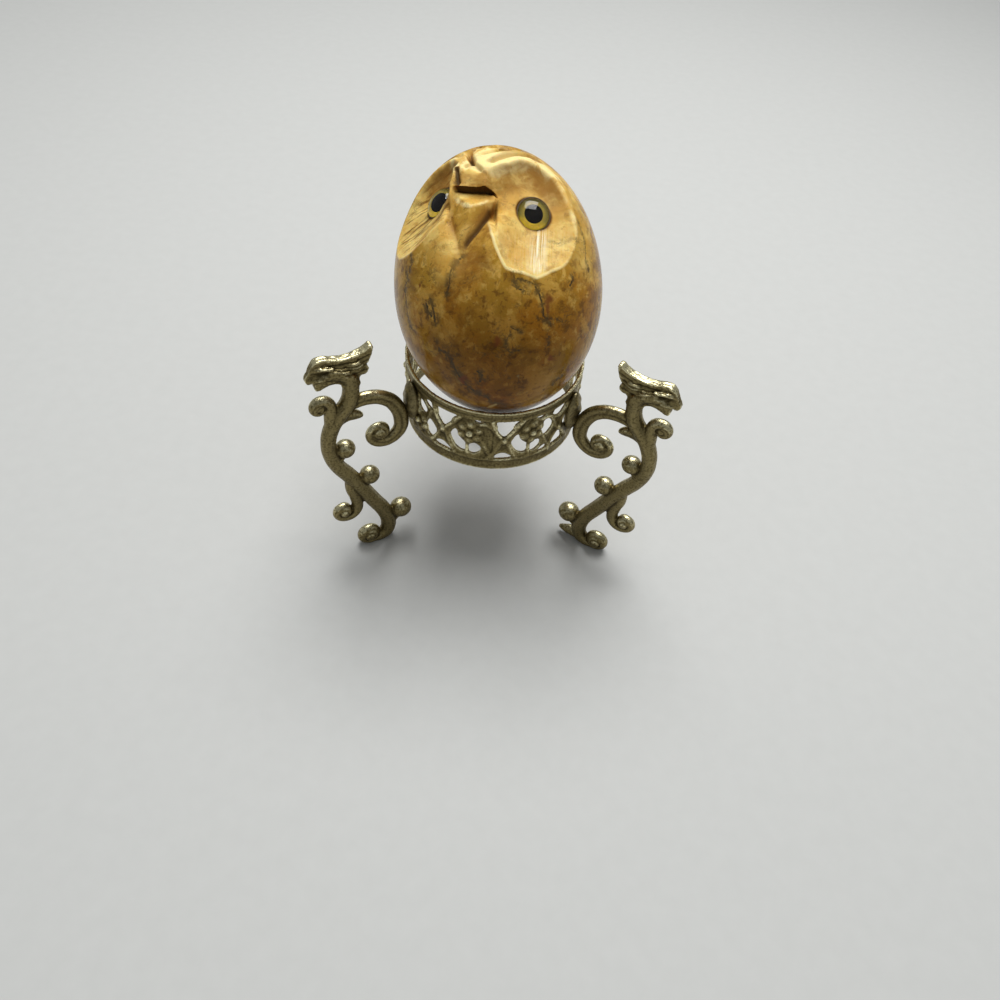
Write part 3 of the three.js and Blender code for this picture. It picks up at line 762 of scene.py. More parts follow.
axes = facing(-103.5, 33)
rim = np.array([on_egg(*place) for place in SLIT + RIGHT_CREASE[1:-1] + LEFT_CREASE[-3::-1]]) @ axes[:2].T
middle = rim.mean(axis=0)
share, reach, _ = within(rim - middle, (egg @ axes.T)[:, :2] - middle)
lift = np.full(len(egg), 9.0)
for corners in BEAK:
    a, b, c = (under(*corner) for corner in corners)
    out = np.cross(b - a, c - a)
    out *= np.sign(out @ a) / np.linalg.norm(out)
    lift = np.minimum(lift, -((egg + pressed - a) @ out) / np.clip(outward @ out, 0.3, None))
deep = -(pressed * outward).sum(axis=1)
blend = 0.5 + 1.7 * soft_step((turn_of + 97) / 9)
beak = soft_step((1.0 - share) * reach / blend + 0.6) * (egg @ axes[2] > 0)
pressed += (np.clip(lift, 0, np.maximum(deep, 0)) * beak)[:, None] * outward

near, side, along = along_path(SLIT)
ends = soft_step(along / 0.1) * soft_step((1 - along) / 0.12)
above = np.where(side < 0, near, -near)
raised = np.array([0, 0, 1.0]) - outward[:, 2:] * outward
tuck = (0.4 + 0.8 * along) * ends * np.clip(1 - np.where(above > 0, above / 0.7, -above / 0.8), 0, 1)
pressed += tuck[:, None] * raised / np.linalg.norm(raised, axis=1)[:, None]
marks["dirt_and_shade"] = marks["dirt_and_shade"] * (1 - 0.7 * beak * (share < 0.9))
# Painted shade in the slit and under the forehead above it, and along both creases beside the beak.
mark("dirt_and_shade", ends * soft_step((above + 0.45) / 0.3) * soft_step((0.75 - above) / 0.3))
mark("dirt_and_shade", 0.75 * ends * (above > 0) * np.exp(-above / 1.3))
for crease, inner_side, dirt_and_shade_level, wide in ((RIGHT_CREASE, 1, 1.0, 1.9), (LEFT_CREASE, -1, 0.6, 0.9)):
    near, side, along = along_path(crease)
    spread = np.exp(-(near / np.where(side == inner_side, wide, 0.6)) ** 2)
    mark("dirt_and_shade", dirt_and_shade_level * spread * soft_step(along / 0.25) * soft_step((0.92 - along) / 0.3))
print("deepest cut", round(float(np.linalg.norm(pressed, axis=1).max()), 2), "mm")

# %% [markdown]
# Some places are made pale: the top of the beak and its front edge, the brows and the crown. That is wear
# and also painted highlight, where these faces turn up to the light. The rest of the beak is only a little
# paler than the egg, and some hollows and grooves are darkened with painted shade. Each row below has
# the mark, its strength, how far it reaches from a path, how much of that is lost along it, and how softly
# it ends. A carved face is never quite even either, so a slow noise presses it in by a tenth of a
# millimetre here and there.

# %% Wear, painted highlight and painted shade of the carved faces
CROWN = [(-118, 66), (-104, 67), (-86, 60), (-66, 63), (-48, 61), (-36, 50)]
WORN = [
    ("carved", 0.32, 5.0, 3.2, 1.5, [(-101, 39), (-104, 30), (-106.5, 18)]),
    # Pale and cream on the crown: wear and painted highlight.
    ("carved", 0.95, 6.4, 2.6, 3.0, CROWN), ("wear_and_highlight", 0.95, 5.2, 2.6, 2.4, CROWN),
    ("carved", 0.62, 6.0, 0.0, 5.0, [(-124, 25), (-118, 19), (-115, 11)]),
    ("carved", 0.5, 6.0, 0.0, 5.5, [(-34, 54), (-29, 38), (-31, 22), (-40, 9)]),
    # Painted shade in the grooves round the forehead, brows and cleft, and on the breast beside the beak.
    ("dirt_and_shade", 0.6, 2.2, 0.0, 1.6, [(-93, 54), (-91, 50), (-89, 46)]),
    ("dirt_and_shade", 0.64, 3.4, 0.0, 2.6, [(-112, 52.5), (-105, 51), (-98, 50.5)]),
    ("dirt_and_shade", 0.62, 1.1, 0.0, 0.8, [(-90, 61.4), (-86, 63.4), (-80, 65.2), (-70, 67.5), (-58, 68.4), (-45, 67),
                                    (-38, 61.5)]),
    ("dirt_and_shade", 0.9, 0.85, 0.0, 0.6, [(-106, 62), (-113, 67.5), (-118.7, 71.2), (-122, 75)]),
    ("dirt_and_shade", 0.95, 0.85, 0.0, 0.6, [(-119.2, 59.4), (-116, 54.6), (-113.4, 50.8)]),
    ("dirt_and_shade", 0.55, 4.5, 0.0, 4.0, [(-97, 27), (-101, 17), (-104, 6)]),
]
# Pale on the level top of the beak, cream along its front edge and on the brow: wear, and painted highlight where these
# face the light.
near, _, _ = along_path([(-113.5, 44.4), (-107, 42.4), (-101, 41.6), (-93, 43.4)])
mark("carved", 0.95 * soft_step((2.0 - near) / 0.9) * (1 - marks["dirt_and_shade"]))
near, _, along = along_path([(-117, 45), (-108.6, 39.8), (-102.7, 37.9), (-98.7, 39.3), (-92.6, 41.9), (-88, 43.8)])
mark("wear_and_highlight", 0.9 * np.exp(-(near / 0.5) ** 2) * soft_step(along / 0.15) * soft_step((1 - along) / 0.2))
near, _, _ = along_path([(-103, 62.6), (-96, 59.4), (-90.5, 57.4), (-83, 58.4)])
mark("wear_and_highlight", 0.8 * np.exp(-(near / 1.2) ** 2))
for name, most, reach, lost, soft, path in WORN:
    near, _, along = along_path(path)
    mark(name, most * soft_step((reach - lost * along - near) / soft))
hand = np.array([
    mathutils.noise.noise(point / 2.6) + 0.5 * mathutils.noise.noise(point / 1.0) for point in map(Vector, egg)
])
uneven = 0.12 * np.maximum(marks["carved"], 0.8 * marks["dirt_and_shade"]) * np.clip(0.6 + hand, 0, None)
pressed -= uneven[:, None] * outward
print({name: int((values > 0.4).sum()) for name, values in marks.items()}, "points marked")

# %% [markdown]
# The chisel left fine upright lines below the right eye and brush-like strokes on the left disc. They are
# finer than the mesh, so here only the places where they show are stored, and the finish draws them. The
# sockets are sunk last, straight in along the direction in which each eye looks, and a ring of painted
# shade lies round them. The stone is also marked darker towards the bottom of the egg, most at the
# front, as painted shade.

# %% Chisel lines and eye sockets
SOCKET_RADIUS, SOCKET_DEPTH = 3.24, 2.4
flat, share = DISCS["right"]["flat"], DISCS["right"]["share"]
below = soft_step((3.2 - flat[:, 1]) / 3.0) * soft_step((0.99 - share) / 0.10)
marks["raked"] = below * (0.08 + 0.92 * np.exp(-((flat[:, 0] - 0.8 - 0.38 * flat[:, 1]) / 1.3) ** 2))
marks["brushed"] = soft_step((0.97 - DISCS["left"]["share"]) / 0.15)
for disc in DISCS.values():
    gaze, seat = facing(*disc["gaze"]), disc["eye"] @ disc["axes"]
    local = (egg + pressed - seat) @ gaze.T
    off = np.where(local[:, 2] > -9, np.hypot(local[:, 0], local[:, 1]), 99.0)
    pressed -= SOCKET_DEPTH * soft_step((SOCKET_RADIUS - off) / 0.16)[:, None] * gaze[2]
    # Painted shade: a dark ring round each socket.
    mark("dirt_and_shade", 0.9 * soft_step((3.85 - off) / 0.5))
    disc.update(gaze=gaze, seat=seat)
# Painted shade: darker towards the bottom of the egg, most at the front.
marks["low"] = soft_step((7.0 - egg[:, 2]) / 24.0) * (0.25 + 0.75 * np.exp(-(((turn_of + 95) / 55) ** 2)))
print("lines on", int((marks["raked"] > 0.2).sum()), "points")

# %% [markdown]
# The larger veins are drawn where they run on the stone, each with half its width in millimetres. The
# piece stores the distance to the nearest of them, counted in half widths, so that the finish can draw
# them sharper than the mesh is.

# %% Draw the veins
VEINS = [
    (0.26, [(-127.9, -27.1), (-127.2, -31.2), (-123.2, -32.9), (-121.8, -37.6), (-121.3, -43.3), (-120.1, -48.4),
            (-116.7, -54.1), (-109.2, -60.7)]),
    (0.22, [(-126.5, -5.4), (-125.2, -9), (-124.7, -13.3), (-125.4, -18.5)]),
    (0.28, [(-129.2, -6.6), (-128.7, -11.6), (-126, -14.6)]),
    (0.13, [(-144.1, 11.1), (-142.6, 5.3), (-146, 2), (-145.9, -5.2), (-147.5, -13.1), (-147.1, -18.3),
            (-143.4, -21.4)]),
    (0.18, [(-106.1, 13.9), (-110.8, 10.2), (-112.9, 5.7), (-113.6, 0.3), (-116.2, -5.6)]),
    (0.17, [(-71.4, -1.6), (-68.5, -7.1), (-66.6, -12.6), (-66, -17.4), (-61.4, -21.6), (-62, -23.7)]),
    (0.10, [(-69.2, -17.9), (-65.8, -19.8), (-58, -19), (-52, -22)]),
    (0.11, [(-84.4, -22.1), (-83.7, -24.9), (-86.1, -28.3), (-86.7, -32.5), (-83.8, -34.9), (-79.7, -33.6),
            (-77, -35.2)]),
    (0.10, [(-84.4, -22.1), (-80.6, -23.6), (-77.1, -25.2)]), (0.14, [(-37.7, -48.8), (-43.2, -52.9), (-43.6, -56.7)]),
    (0.10, [(-62.2, -33), (-60.9, -30.1), (-62.5, -26.5)]), (0.22, [(-106.4, -43), (-103.5, -46.4), (-107.3, -50.7)]),
    (0.16, [(-47.3, 2.1), (-48.6, -1.1), (-50.6, -3.9)]), (0.14, [(-81.4, -0.5), (-79.4, -4), (-75.2, -5.5)]),
    (0.14, [(-82.9, -2.5), (-79.2, 0.7), (-74.3, -0.8), (-70.7, -2.3)]),
    (0.12, [(-57.5, 21.5), (-52.4, 19.6), (-44.8, 20.6), (-40, 19)]),
    (0.10, [(-35, 29.9), (-34.4, 23.5), (-33.8, 18.5), (-36, 10), (-33, 2)]),
    (0.12, [(-140.4, 17.7), (-138.5, 13.2), (-141.8, 8.7)]), (0.16, [(-107.7, -58.5), (-101.7, -66), (-86.7, -71.2)]),
    (0.20, [(-119.5, 58), (-117, 54.5), (-115, 50.5)]), (0.12, [(-20, -8), (-14, -18), (-16, -30), (-8, -42)]),
    (0.14, [(10, 48), (22, 34), (20, 20), (31, 4), (28, -14)]), (0.10, [(120, 8), (128, -6), (124, -20)]),
    (0.12, [(75, 60), (84, 44), (80, 30), (95, 12), (92, -6), (104, -22)]),
    (0.14, [(150, 30), (158, 14), (154, -4), (166, -20), (162, -36)]),
]
vein_gap = np.full(len(egg), 9.0)
for half_width, path in VEINS:
    near, _, along = along_path(path)
    past_ends = 2.0 * soft_step((0.1 - along) / 0.1) + 2.0 * soft_step((along - 0.9) / 0.1)
    vein_gap = np.minimum(vein_gap, near / half_width + past_ends)
marks["vein_gap"] = vein_gap
print(len(VEINS), "veins")

# %% [markdown]
# With all cuts known, the points are moved once, and what the finish needs is stored with them.

# %% The owl in one piece
move_points(owl, egg + pressed)
for name, values in marks.items():
    store(owl, name, values)
settle(owl, OWL_PLACE, "owl", ["owl_body"], alabaster)

# %% [markdown]
# ## The glass eyes
# Each eye is a dome cut from a sphere, flattened, and with a short cylinder below it that sits in the
# socket. Behind it lie the painted iris and pupil, and a collar of cement shows as a dark line round it.
# Everything is modelled facing up at the origin and then turned to where the eye looks.

# %% Eye pieces
EYE_RADIUS, EYE_DOME, EYE_SETTING, EYE_ROLL = 3.0, 1.5, 0.4, -16
PAINT_RINGS, PAINT_THICKNESS = 6, 0.3
IRIS, PUPIL = (1.45, 2.96, -0.33), (0.2, 1.55, -0.30)
CEMENT_WIDTH, CEMENT_DEPTH, CEMENT_LIP = 0.22, 1.6, 0.95


def glass_dome(name):
    dome = add(bpy.ops.mesh.primitive_uv_sphere_add, name, segments=64, ring_count=32, radius=EYE_RADIUS)
    edit_all()
    bpy.ops.mesh.bisect(plane_co=(0, 0, 0), plane_no=(0, 0, 1), clear_inner=True, use_fill=False)
    bpy.ops.mesh.select_all(action="SELECT")
    bpy.ops.transform.resize(value=(1, 1, EYE_DOME / EYE_RADIUS), center_override=(0, 0, 0))
    bpy.ops.mesh.select_mode(type="EDGE")
    bpy.ops.mesh.select_all(action="DESELECT")
    bpy.ops.mesh.select_non_manifold()
    extrude(0, 0, -EYE_SETTING)
    bpy.ops.mesh.edge_face_add()
    bpy.ops.mesh.inset(thickness=0.25)
    face_outward()
    return dome


def painted_disc(name, inner, outer, top):
    """A thin plate from one radius to another, with its distance from the middle stored."""
    plate = add(
        bpy.ops.mesh.primitive_circle_add, name, vertices=64, radius=outer, location=(0, 0, top), fill_type="NGON"
    )
    edit_all()
    for _ in range(PAINT_RINGS):
        bpy.ops.mesh.inset(thickness=(outer - inner) / PAINT_RINGS)
    if inner > 0.3:
        bpy.ops.mesh.delete(type="FACE")
    else:
        bpy.ops.mesh.poke()
    bpy.ops.mesh.select_all(action="SELECT")
    extrude(0, 0, -PAINT_THICKNESS)
    face_outward()
    points = points_of(plate)
    store(plate, "across", np.hypot(points[:, 0], points[:, 1]) / EYE_RADIUS)
    # How low each point lies, for the painted light on the lower iris.
    store(plate, "low", -points[:, 1] / EYE_RADIUS)
    return plate


def cement_collar(name):
    collar = add(
        bpy.ops.mesh.primitive_cylinder_add, name, vertices=64, radius=EYE_RADIUS + CEMENT_WIDTH,
        depth=CEMENT_DEPTH, location=(0, 0, -CEMENT_DEPTH),
    )
    select_parts(collar, "FACE", [polygon.normal.z > 0.9 for polygon in collar.data.polygons])
    bpy.ops.mesh.inset(thickness=0.21)
    stop_editing()
    ring = [polygon.normal.z > 0.9 and len(polygon.vertices) == 4 for polygon in collar.data.polygons]
    select_parts(collar, "FACE", ring)
    extrude(0, 0, CEMENT_LIP)
    stop_editing()
    apply_modifier(collar, "BEVEL", width=0.09, segments=3, limit_method="ANGLE")
    return collar


for side, disc in DISCS.items():
    turn = Matrix(disc["gaze"].tolist()).transposed().to_4x4() @ spin(EYE_ROLL, "Z")
    place = OWL_PLACE @ Matrix.Translation(disc["seat"].tolist()) @ turn
    for piece, part, slot, finish in (
        (glass_dome(f"{side}_glass_dome"), "glass", "eye_glass", clear_glass),
        (painted_disc(f"{side}_painted_iris", *IRIS), "iris", "iris_paint", iris_paint),
        (painted_disc(f"{side}_painted_pupil", *PUPIL), "pupil", "pupil_paint", pupil_paint),
        (cement_collar(f"{side}_cement_collar"), "cement", "eye_cement", eye_cement),
    ):
        settle(piece, place, "owl", [f"{side}_eye_{part}"], finish)

# %% [markdown]
# ## The brass stand
# Castings like these are made from wax: wires are pulled, curled and pressed together, and balls and
# leaves are added. The same is done here. A wire is a curve through a few points, each with its own
# thickness, made into a mesh. Everything is then joined and remeshed into one skin, which is smoothed
# a little as a casting is.

# %% Wax wires and balls
def smooth_knots(spline, places, handle="AUTO"):
    spline.bezier_points.add(len(places) - len(spline.bezier_points))
    for knot, place in zip(spline.bezier_points, places):
        knot.co = place
        knot.handle_left_type = knot.handle_right_type = handle


def wire(knots, sideways=0.0):
    """A round wire through (x, z, radius) knots; sideways is its place in y, one for all or one each."""
    curve = add(bpy.ops.curve.primitive_bezier_curve_add)
    spline = curve.data.splines[0]
    ys = np.broadcast_to(sideways, len(knots))
    smooth_knots(spline, [(x, y, z) for (x, z, _), y in zip(knots, ys)])
    for point, knot in zip(spline.bezier_points, knots):
        point.radius = knot[2]
    curve.data.resolution_u = 8
    curve.data.bevel_depth = 1.0
    curve.data.bevel_resolution = 4
    curve.data.use_fill_caps = True
    bpy.ops.object.convert(target="MESH")
    return bpy.context.object


def ball(x, z, radius, sideways=0.0, stretch=(1, 1, 1)):
    bpy.ops.object.select_all(action="DESELECT")
    bpy.ops.mesh.primitive_uv_sphere_add(segments=24, ring_count=14, radius=radius, location=(x, sideways, z))
    made = bpy.context.object
    made.scale = stretch
    bpy.ops.object.transform_apply()
    return made


def flat_plate(loops, resolution, half_thickness):
    """An upright plate with the first loop as its outline and the others as holes."""
    plate = add(bpy.ops.curve.primitive_bezier_circle_add)
    drawing = plate.data
    drawing.dimensions = "2D"
    drawing.fill_mode = "BOTH"
    drawing.splines.clear()
    for loop, handle in loops:
        spline = drawing.splines.new("BEZIER")
        spline.use_cyclic_u = True
        smooth_knots(spline, [(x, z, 0) for x, z in loop], handle)
    drawing.resolution_u = resolution
    drawing.extrude = half_thickness
    bpy.ops.object.convert(target="MESH")
    plate = bpy.context.object
    plate.data.transform(spin(90, "X"))
    return plate


def winding(x, z, start, end, first_turn, last_turn, count, thick, thin):
    """Knots of a scroll that tightens from one radius and turn to another."""
    share = np.linspace(0, 1, count)
    turn = np.radians(first_turn + (last_turn - first_turn) * share)
    radius = start * (end / start) ** share
    return list(zip(x + radius * np.cos(turn), z + radius * np.sin(turn), thick + (thin - thick) * share))


def beside(knots, shift, thickness):
    """The same path moved sideways in its plane, with another thickness."""
    path = np.array(knots)
    way = np.gradient(path[:, :2], axis=0)
    way /= np.linalg.norm(way, axis=1)[:, None]
    size = path[:, 2] / path[0, 2]
    return [(x - w[1] * shift * s, z + w[0] * shift * s, thickness * s) for (x, z), w, s in zip(path[:, :2], way, size)]


def normals_of(piece):
    flat = np.empty(3 * len(piece.data.vertices))
    piece.data.vertex_normals.foreach_get("vector", flat)
    return flat.reshape(-1, 3)


def mark_relief(piece, passes, rub_and_highlight=0.0):
    """Store how far each point stands above the surface around it, in millimetres, and how far it faces up."""
    points = points_of(piece)
    pairs = np.empty(2 * len(piece.data.edges), dtype=np.int64)
    piece.data.edges.foreach_get("vertices", pairs)
    a, b = pairs.reshape(-1, 2).T
    ends, others = np.concatenate([a, b]), np.concatenate([b, a])
    count = np.bincount(ends, minlength=len(points))[:, None]
    level = points.copy()
    for _ in range(passes):
        total = np.stack([np.bincount(ends, weights=level[others, k], minlength=len(points)) for k in range(3)], axis=1)
        level = 0.4 * level + 0.6 * total / count
    normals = normals_of(piece)
    # Extra brightening, where given, is added to the relief; the crest gets it as rubbing and painted highlight. How
    # far each point faces up serves the brass finish as painted highlight on the tops.
    store(piece, "relief", ((points - level) * normals).sum(axis=1) + rub_and_highlight)
    store(piece, "top", normals[:, 2])

# %% [markdown]
# The leg's main lines: a stem that swings from the neck down to the foot, an arm of two strands that ends
# in the scroll soldered to the ring, a scroll behind the head, a curl below and three short curls, each
# wound round a ball.

# %% Stem, arm, scrolls and curls of the leg
stem = [(12.2, 53, 1.8), (12.1, 50.4, 1.72), (12.9, 47.2, 1.75), (15.1, 44.4, 1.75), (17.1, 41, 1.7),
        (18.05, 37.2, 1.66), (17.9, 33.8, 1.66), (16.6, 29.6, 1.72), (14.6, 26, 1.8), (12.7, 22.2, 1.85),
        (10.9, 18.2, 1.85), (8.9, 14, 1.85), (7.1, 10.2, 1.88), (6.15, 6.8, 1.88), (6.05, 4.2, 1.85), (6.7, 2.1, 1.75),
        (8.4, 1, 1.5), (10.2, 0.9, 1.25)]
arm = [(12.6, 46.6, 1.35), (8.7, 46.75, 1.35), (5.3, 45.35, 1.35), (2.9, 42.4, 1.38)]
SEAT_SCROLL = ((168, 5.1), (190, 4.75), (212, 4.3), (235, 3.85), (258, 3.4), (280, 2.95), (305, 2.5), (330, 2.15),
               (358, 1.85), (390, 1.55), (425, 1.3), (465, 1.05), (510, 0.85), (550, 0.65))
for k, (turn, radius) in enumerate(SEAT_SCROLL):
    turn = math.radians(turn)
    arm.append((6.75 + radius * math.cos(turn), 36.5 + radius * math.sin(turn), 1.38 - 0.04 * k))
wax = [
    wire(stem), wire(beside(arm, -0.6, 1.06)), wire(beside(arm, 0.6, 1.03)), ball(6.6, 36.5, 2.1, 0.0, (1, 0.8, 1)),
    wire([(16.9, 41.6, 1.5), (16.8, 44.9, 1.42)] + winding(18.8, 47.6, 2.05, 0.7, 176, -180, 14, 1.3, 0.75)),
    ball(18.8, 47.6, 1.3, 0.0, (1, 0.8, 1)),
    wire([(14, 24.4, 1.5), (14.2, 21.4, 1.45), (13.5, 18, 1.4)]
         + winding(16.4, 14.5, 3.1, 1.2, 178, 470, 14, 1.38, 0.9)),
    ball(16.5, 14.6, 1.8),
    wire(winding(10.95, 3.0, 2.1, 1.4, -120, 250, 14, 1.35, 1.0)),
    ball(10.95, 3.05, 2.3, 0.0, (1, 0.85, 1)),
]
CURLS = [((16.9, 31.4), 14.6, 34.25, 2.2), ((12.2, 20.8), 9.75, 23.75, 2.3), ((5.9, 5.6), 2.7, 8.7, 2.6)]
for root, x, z, size in CURLS:
    curl = winding(x, z, 0.72 * size, 0.6 * size, -80, -200, 6, 0.36 * size, 0.3 * size)
    wax += [wire([(*root, 1.35)] + curl), ball(x, z, size, 0.0, (1, 0.9, 1))]
wax.append(wire([(15.6, 43.4, 1.2), (13.7, 43.9, 1.1), (11.9, 43.6, 0.95), (10.7, 42.8, 0.7), (10.3, 42.2, 0.35)]))
wax.append(wire([(15.6, 42.4, 1.0), (13.5, 42.85, 0.75), (11.8, 42.5, 0.55), (10.6, 42.1, 0.3)]))
print(len(wax), "wires and balls so far")

# %% [markdown]
# The dragon's head is a flat slab in profile, with a bright crest along the top that sweeps back to a
# point. Its outline is drawn as a flat curve and thickened, and balls fill out the skull and the feathers
# behind it. All is joined and remeshed into one skin.

# %% Head of the dragon
PROFILE = [(7.4, 60.4), (9, 59.6), (11, 59), (13, 58.8), (15.2, 59.2), (17.2, 59.8), (18.6, 59.6), (19.5, 58.7),
           (20.2, 57.4), (20.95, 56.2), (20.9, 55.2), (20.2, 54.6), (19.5, 54.75), (19.2, 54.3), (19.4, 53.4),
           (18.9, 52.7), (17.7, 53), (16, 53.4), (14.3, 52.8), (13.6, 51.4), (10.4, 51.4), (10.2, 53.6), (8.9, 54),
           (8.3, 55), (8.6, 55.9), (7.9, 57.4), (7.4, 59)]
wax += [
    flat_plate([(PROFILE, "AUTO")], 4, 0.85),
    wire([(12.1, 51.5, 1.8), (12.4, 53.8, 1.9), (13.8, 55.4, 1.9), (16.2, 56, 1.7), (18.4, 56, 1.3),
          (19.9, 55.7, 0.85)]),
    wire([(14.8, 54.6, 1.3), (17.2, 54, 1.05), (18.7, 53.4, 0.7)]),
    ball(17.2, 57.6, 1.3, 0.0, (1.7, 1.05, 0.9)), ball(11.2, 56.2, 1.35, 0.0, (2.0, 1.05, 1.5)),
]
LEG_GRAIN = 0.16
BROW_LINE = [(19.9, 57.6, 0.4), (18.6, 58, 0.5), (17, 58, 0.5), (15.4, 57.4, 0.4)]
LIP = [(20.4, 55.3, 0.36), (19, 55.45, 0.42), (17.2, 55.6, 0.36)]
for side in (-1, 1):
    wax.append(wire(BROW_LINE, [side * y for y in (0.55, 0.95, 1.2, 1.3)]))
    wax.append(wire(LIP, [side * y for y in (0.5, 1.0, 1.35)]))
leg = join(wax, "dragon_leg")
apply_modifier(leg, "REMESH", mode="VOXEL", voxel_size=LEG_GRAIN)
apply_modifier(leg, "SMOOTH", factor=0.5, iterations=3)
print("leg", len(leg.data.polygons), "faces")

# %% [markdown]
# In wax, lines are pressed with a pointed tool. Here each line is a path in the plane of the leg, with its
# depth and width, and the points near it are moved inwards along their normals. Spirals are pressed into
# the scrolls and the balls in the same way.

# %% Press in the lines of the leg
LINES = [
    ([(8, 58.3), (11, 57.5), (14.5, 57.8), (17.5, 58.5)], 0.24, 0.16),
    ([(8.2, 57.2), (10.5, 56.6), (13.5, 56.9), (16, 57.6)], 0.22, 0.15),
    ([(8.6, 56.2), (11, 55.9), (13.5, 56.4), (15.4, 57.1)], 0.22, 0.15),
    ([(8.7, 54.9), (11, 54.8), (13.2, 55.5)], 0.20, 0.15),
    ([(17.4, 55), (18.8, 54.8), (20.4, 54.7)], 0.40, 0.2), ([(16.8, 56.8), (17.6, 56.9), (18.4, 56.6)], 0.5, 0.42),
]
SPIRALS = [(14.6, 34.25, 2.2, 100, 0.12), (9.75, 23.75, 2.3, 100, 0.12), (2.7, 8.7, 2.6, 100, 0.12),
           (16.5, 14.6, 2.6, 200, 0.2), (10.95, 3.05, 3.1, 200, 0.2), (18.8, 47.6, 2.3, -20, 0.2),
           (6.75, 36.5, 2.4, 0, 0.2)]
points, normals = points_of(leg), normals_of(leg)
inward = np.zeros(len(points))
for path, depth, width in LINES:
    near = np.full(len(points), 9.0)
    for start, end in zip(np.array(path[:-1]), np.array(path[1:])):
        way = end - start
        share = np.clip((points[:, ::2] - start) @ way / (way @ way), 0, 1)
        near = np.minimum(near, np.hypot(*(points[:, ::2] - start - share[:, None] * way).T))
    inward += depth * np.exp(-(near / width) ** 2) * (np.abs(normals[:, 1]) > 0.25)
for x, z, size, first, depth in SPIRALS:
    away = points[:, ::2] - (x, z)
    far = np.hypot(*away.T) / size
    turned = ((np.arctan2(away[:, 1], away[:, 0]) - math.radians(first)) / (2 * np.pi)) % 1.0
    near = size * np.abs(far - 0.72 + 0.5 * turned)
    inward += depth * np.exp(-(near / 0.2) ** 2) * (far < 0.85)
rough = np.array([mathutils.noise.noise((p.x / 1.2, p.y / 0.5, p.z / 0.5)) for p in map(Vector, points)])
head = soft_step((points[:, 2] - 53.2) / 1.2)
points = points + ((0.03 + 0.07 * head) * np.minimum(rough, 0.3) - inward)[:, None] * normals
points[:, 1] *= 1 - 0.35 * soft_step((points[:, 0] - 18.0) / 3.0) * head
points[:, 0] -= 0.06 * soft_step((points[:, 0] - 19.0) / 2.0)
move_points(leg, points)
# The crest gets extra brightness, more where it faces up: rubbed wear and painted highlight.
crest = soft_step((points[:, 2] - 57.7 - 0.15 * np.abs(points[:, 0] - 13)) / 0.8)
mark_relief(leg, 30, 0.13 * crest * np.clip(0.35 + normals[:, 2], 0, 1))
print(len(LINES), "lines and", len(SPIRALS), "spirals pressed in")

# %% [markdown]
# The same casting is used three times. Each copy has its own mesh, is swung and turned to its place, and
# is cut flat where it stands. The right leg kept a spur of metal from the mould beside its foot.

# %% Three legs
LEGS = {"left": (212.3, 0.0), "right": (-24.8, 3.0), "back": (93.75, 0.0)}
seat = Matrix.Translation((0, 0, RING_MIDDLE + 0.5))
for side, (turn, swing) in LEGS.items():
    copy = leg.copy()
    copy.data = leg.data.copy()
    copy.name = f"{side}_dragon_leg"
    bpy.context.collection.objects.link(copy)
    if side == "right":
        spur = wire([(5.6, 2.2, 1.5), (3.4, 1.9, 1.25), (1.8, 1.7, 0.75), (1.0, 1.6, 0.4)])
        mark_relief(spur, 1)
        copy = join([copy, spur], copy.name)
    copy.data.transform(seat @ spin(swing, "X") @ seat.inverted())
    only(copy)
    edit_all()
    bpy.ops.mesh.bisect(plane_co=(0, 0, 0), plane_no=(0, 0, 1), clear_inner=True, use_fill=True)
    stop_editing()
    place = STAND_PLACE @ spin(turn, "Z") @ Matrix.Translation((LEG_FACE, 0, 0))
    settle(copy, place, "stand", [f"{side}_leg"], antique_brass)
bpy.data.objects.remove(leg)

# %% [markdown]
# The ring is gallery strip: a brass ribbon pierced with flowers and crossing stems between two rims, bent
# round and soldered. The ribbon is drawn flat as a closed outline with the openings inside it, which a
# flat curve fills as a plate with holes. Its flowers stand high and low by turns, and the cut ends meet
# at the back.

# %% The pierced ribbon
BAYS = 9
CELL = 2 * math.pi * RING_RADIUS / BAYS
START = -2.35
OPENINGS = [
    [(-1.57, 5.86), (2.96, 5.86), (1.9, 4.3), (1, 1.79), (-1.04, 1.79), (-1.5, 4.3)],
    [(-2.2, -4.86), (1.9, -4.86), (1.1, -3.9), (-0.2, -3.3), (-1.4, -3.8)],
    [(1.71, -0.3), (2.2, 1), (3, 1.8), (3.3, 0.7), (4, -0.4), (5.05, -1.4), (5, -3.6), (3.5, -3.4), (2.4, -2.2)],
    [(6, -1.7), (7.4, -1), (8.35, -2.4), (7.8, -3.5), (6.2, -3.9)],
    [(8.2, -4.4), (10.2, -3.9), (10.6, -4.85), (8, -4.85)],
    [(8.3, 2.6), (9.4, 4), (11, 2.6), (11.2, 1.1), (10.3, -0.1), (8.7, -0.6)],
    [(6.6, 5.9), (9.2, 5.9), (8.6, 5.1), (7.2, 5.1)],
]
CUT_BY_THE_SEAM = (4, 5)
bays = [(k, k * CELL, 1 if k % 2 == 0 else -1) for k in range(BAYS)]
loops = [([(START, -6.6), (START + BAYS * CELL, -6.6), (START + BAYS * CELL, 6.6), (START, 6.6)], "VECTOR")]
for k, shift, flip in bays:
    for number, opening in enumerate(OPENINGS):
        if k < BAYS - 1 or number not in CUT_BY_THE_SEAM:
            loops.append(([(shift + x, flip * z) for x, z in opening], "AUTO"))
plate = flat_plate(loops, 5, 0.32)
apply_modifier(plate, "REMESH", mode="VOXEL", voxel_size=0.3)
print("ribbon", len(plate.data.polygons), "faces,", len(loops) - 1, "openings")

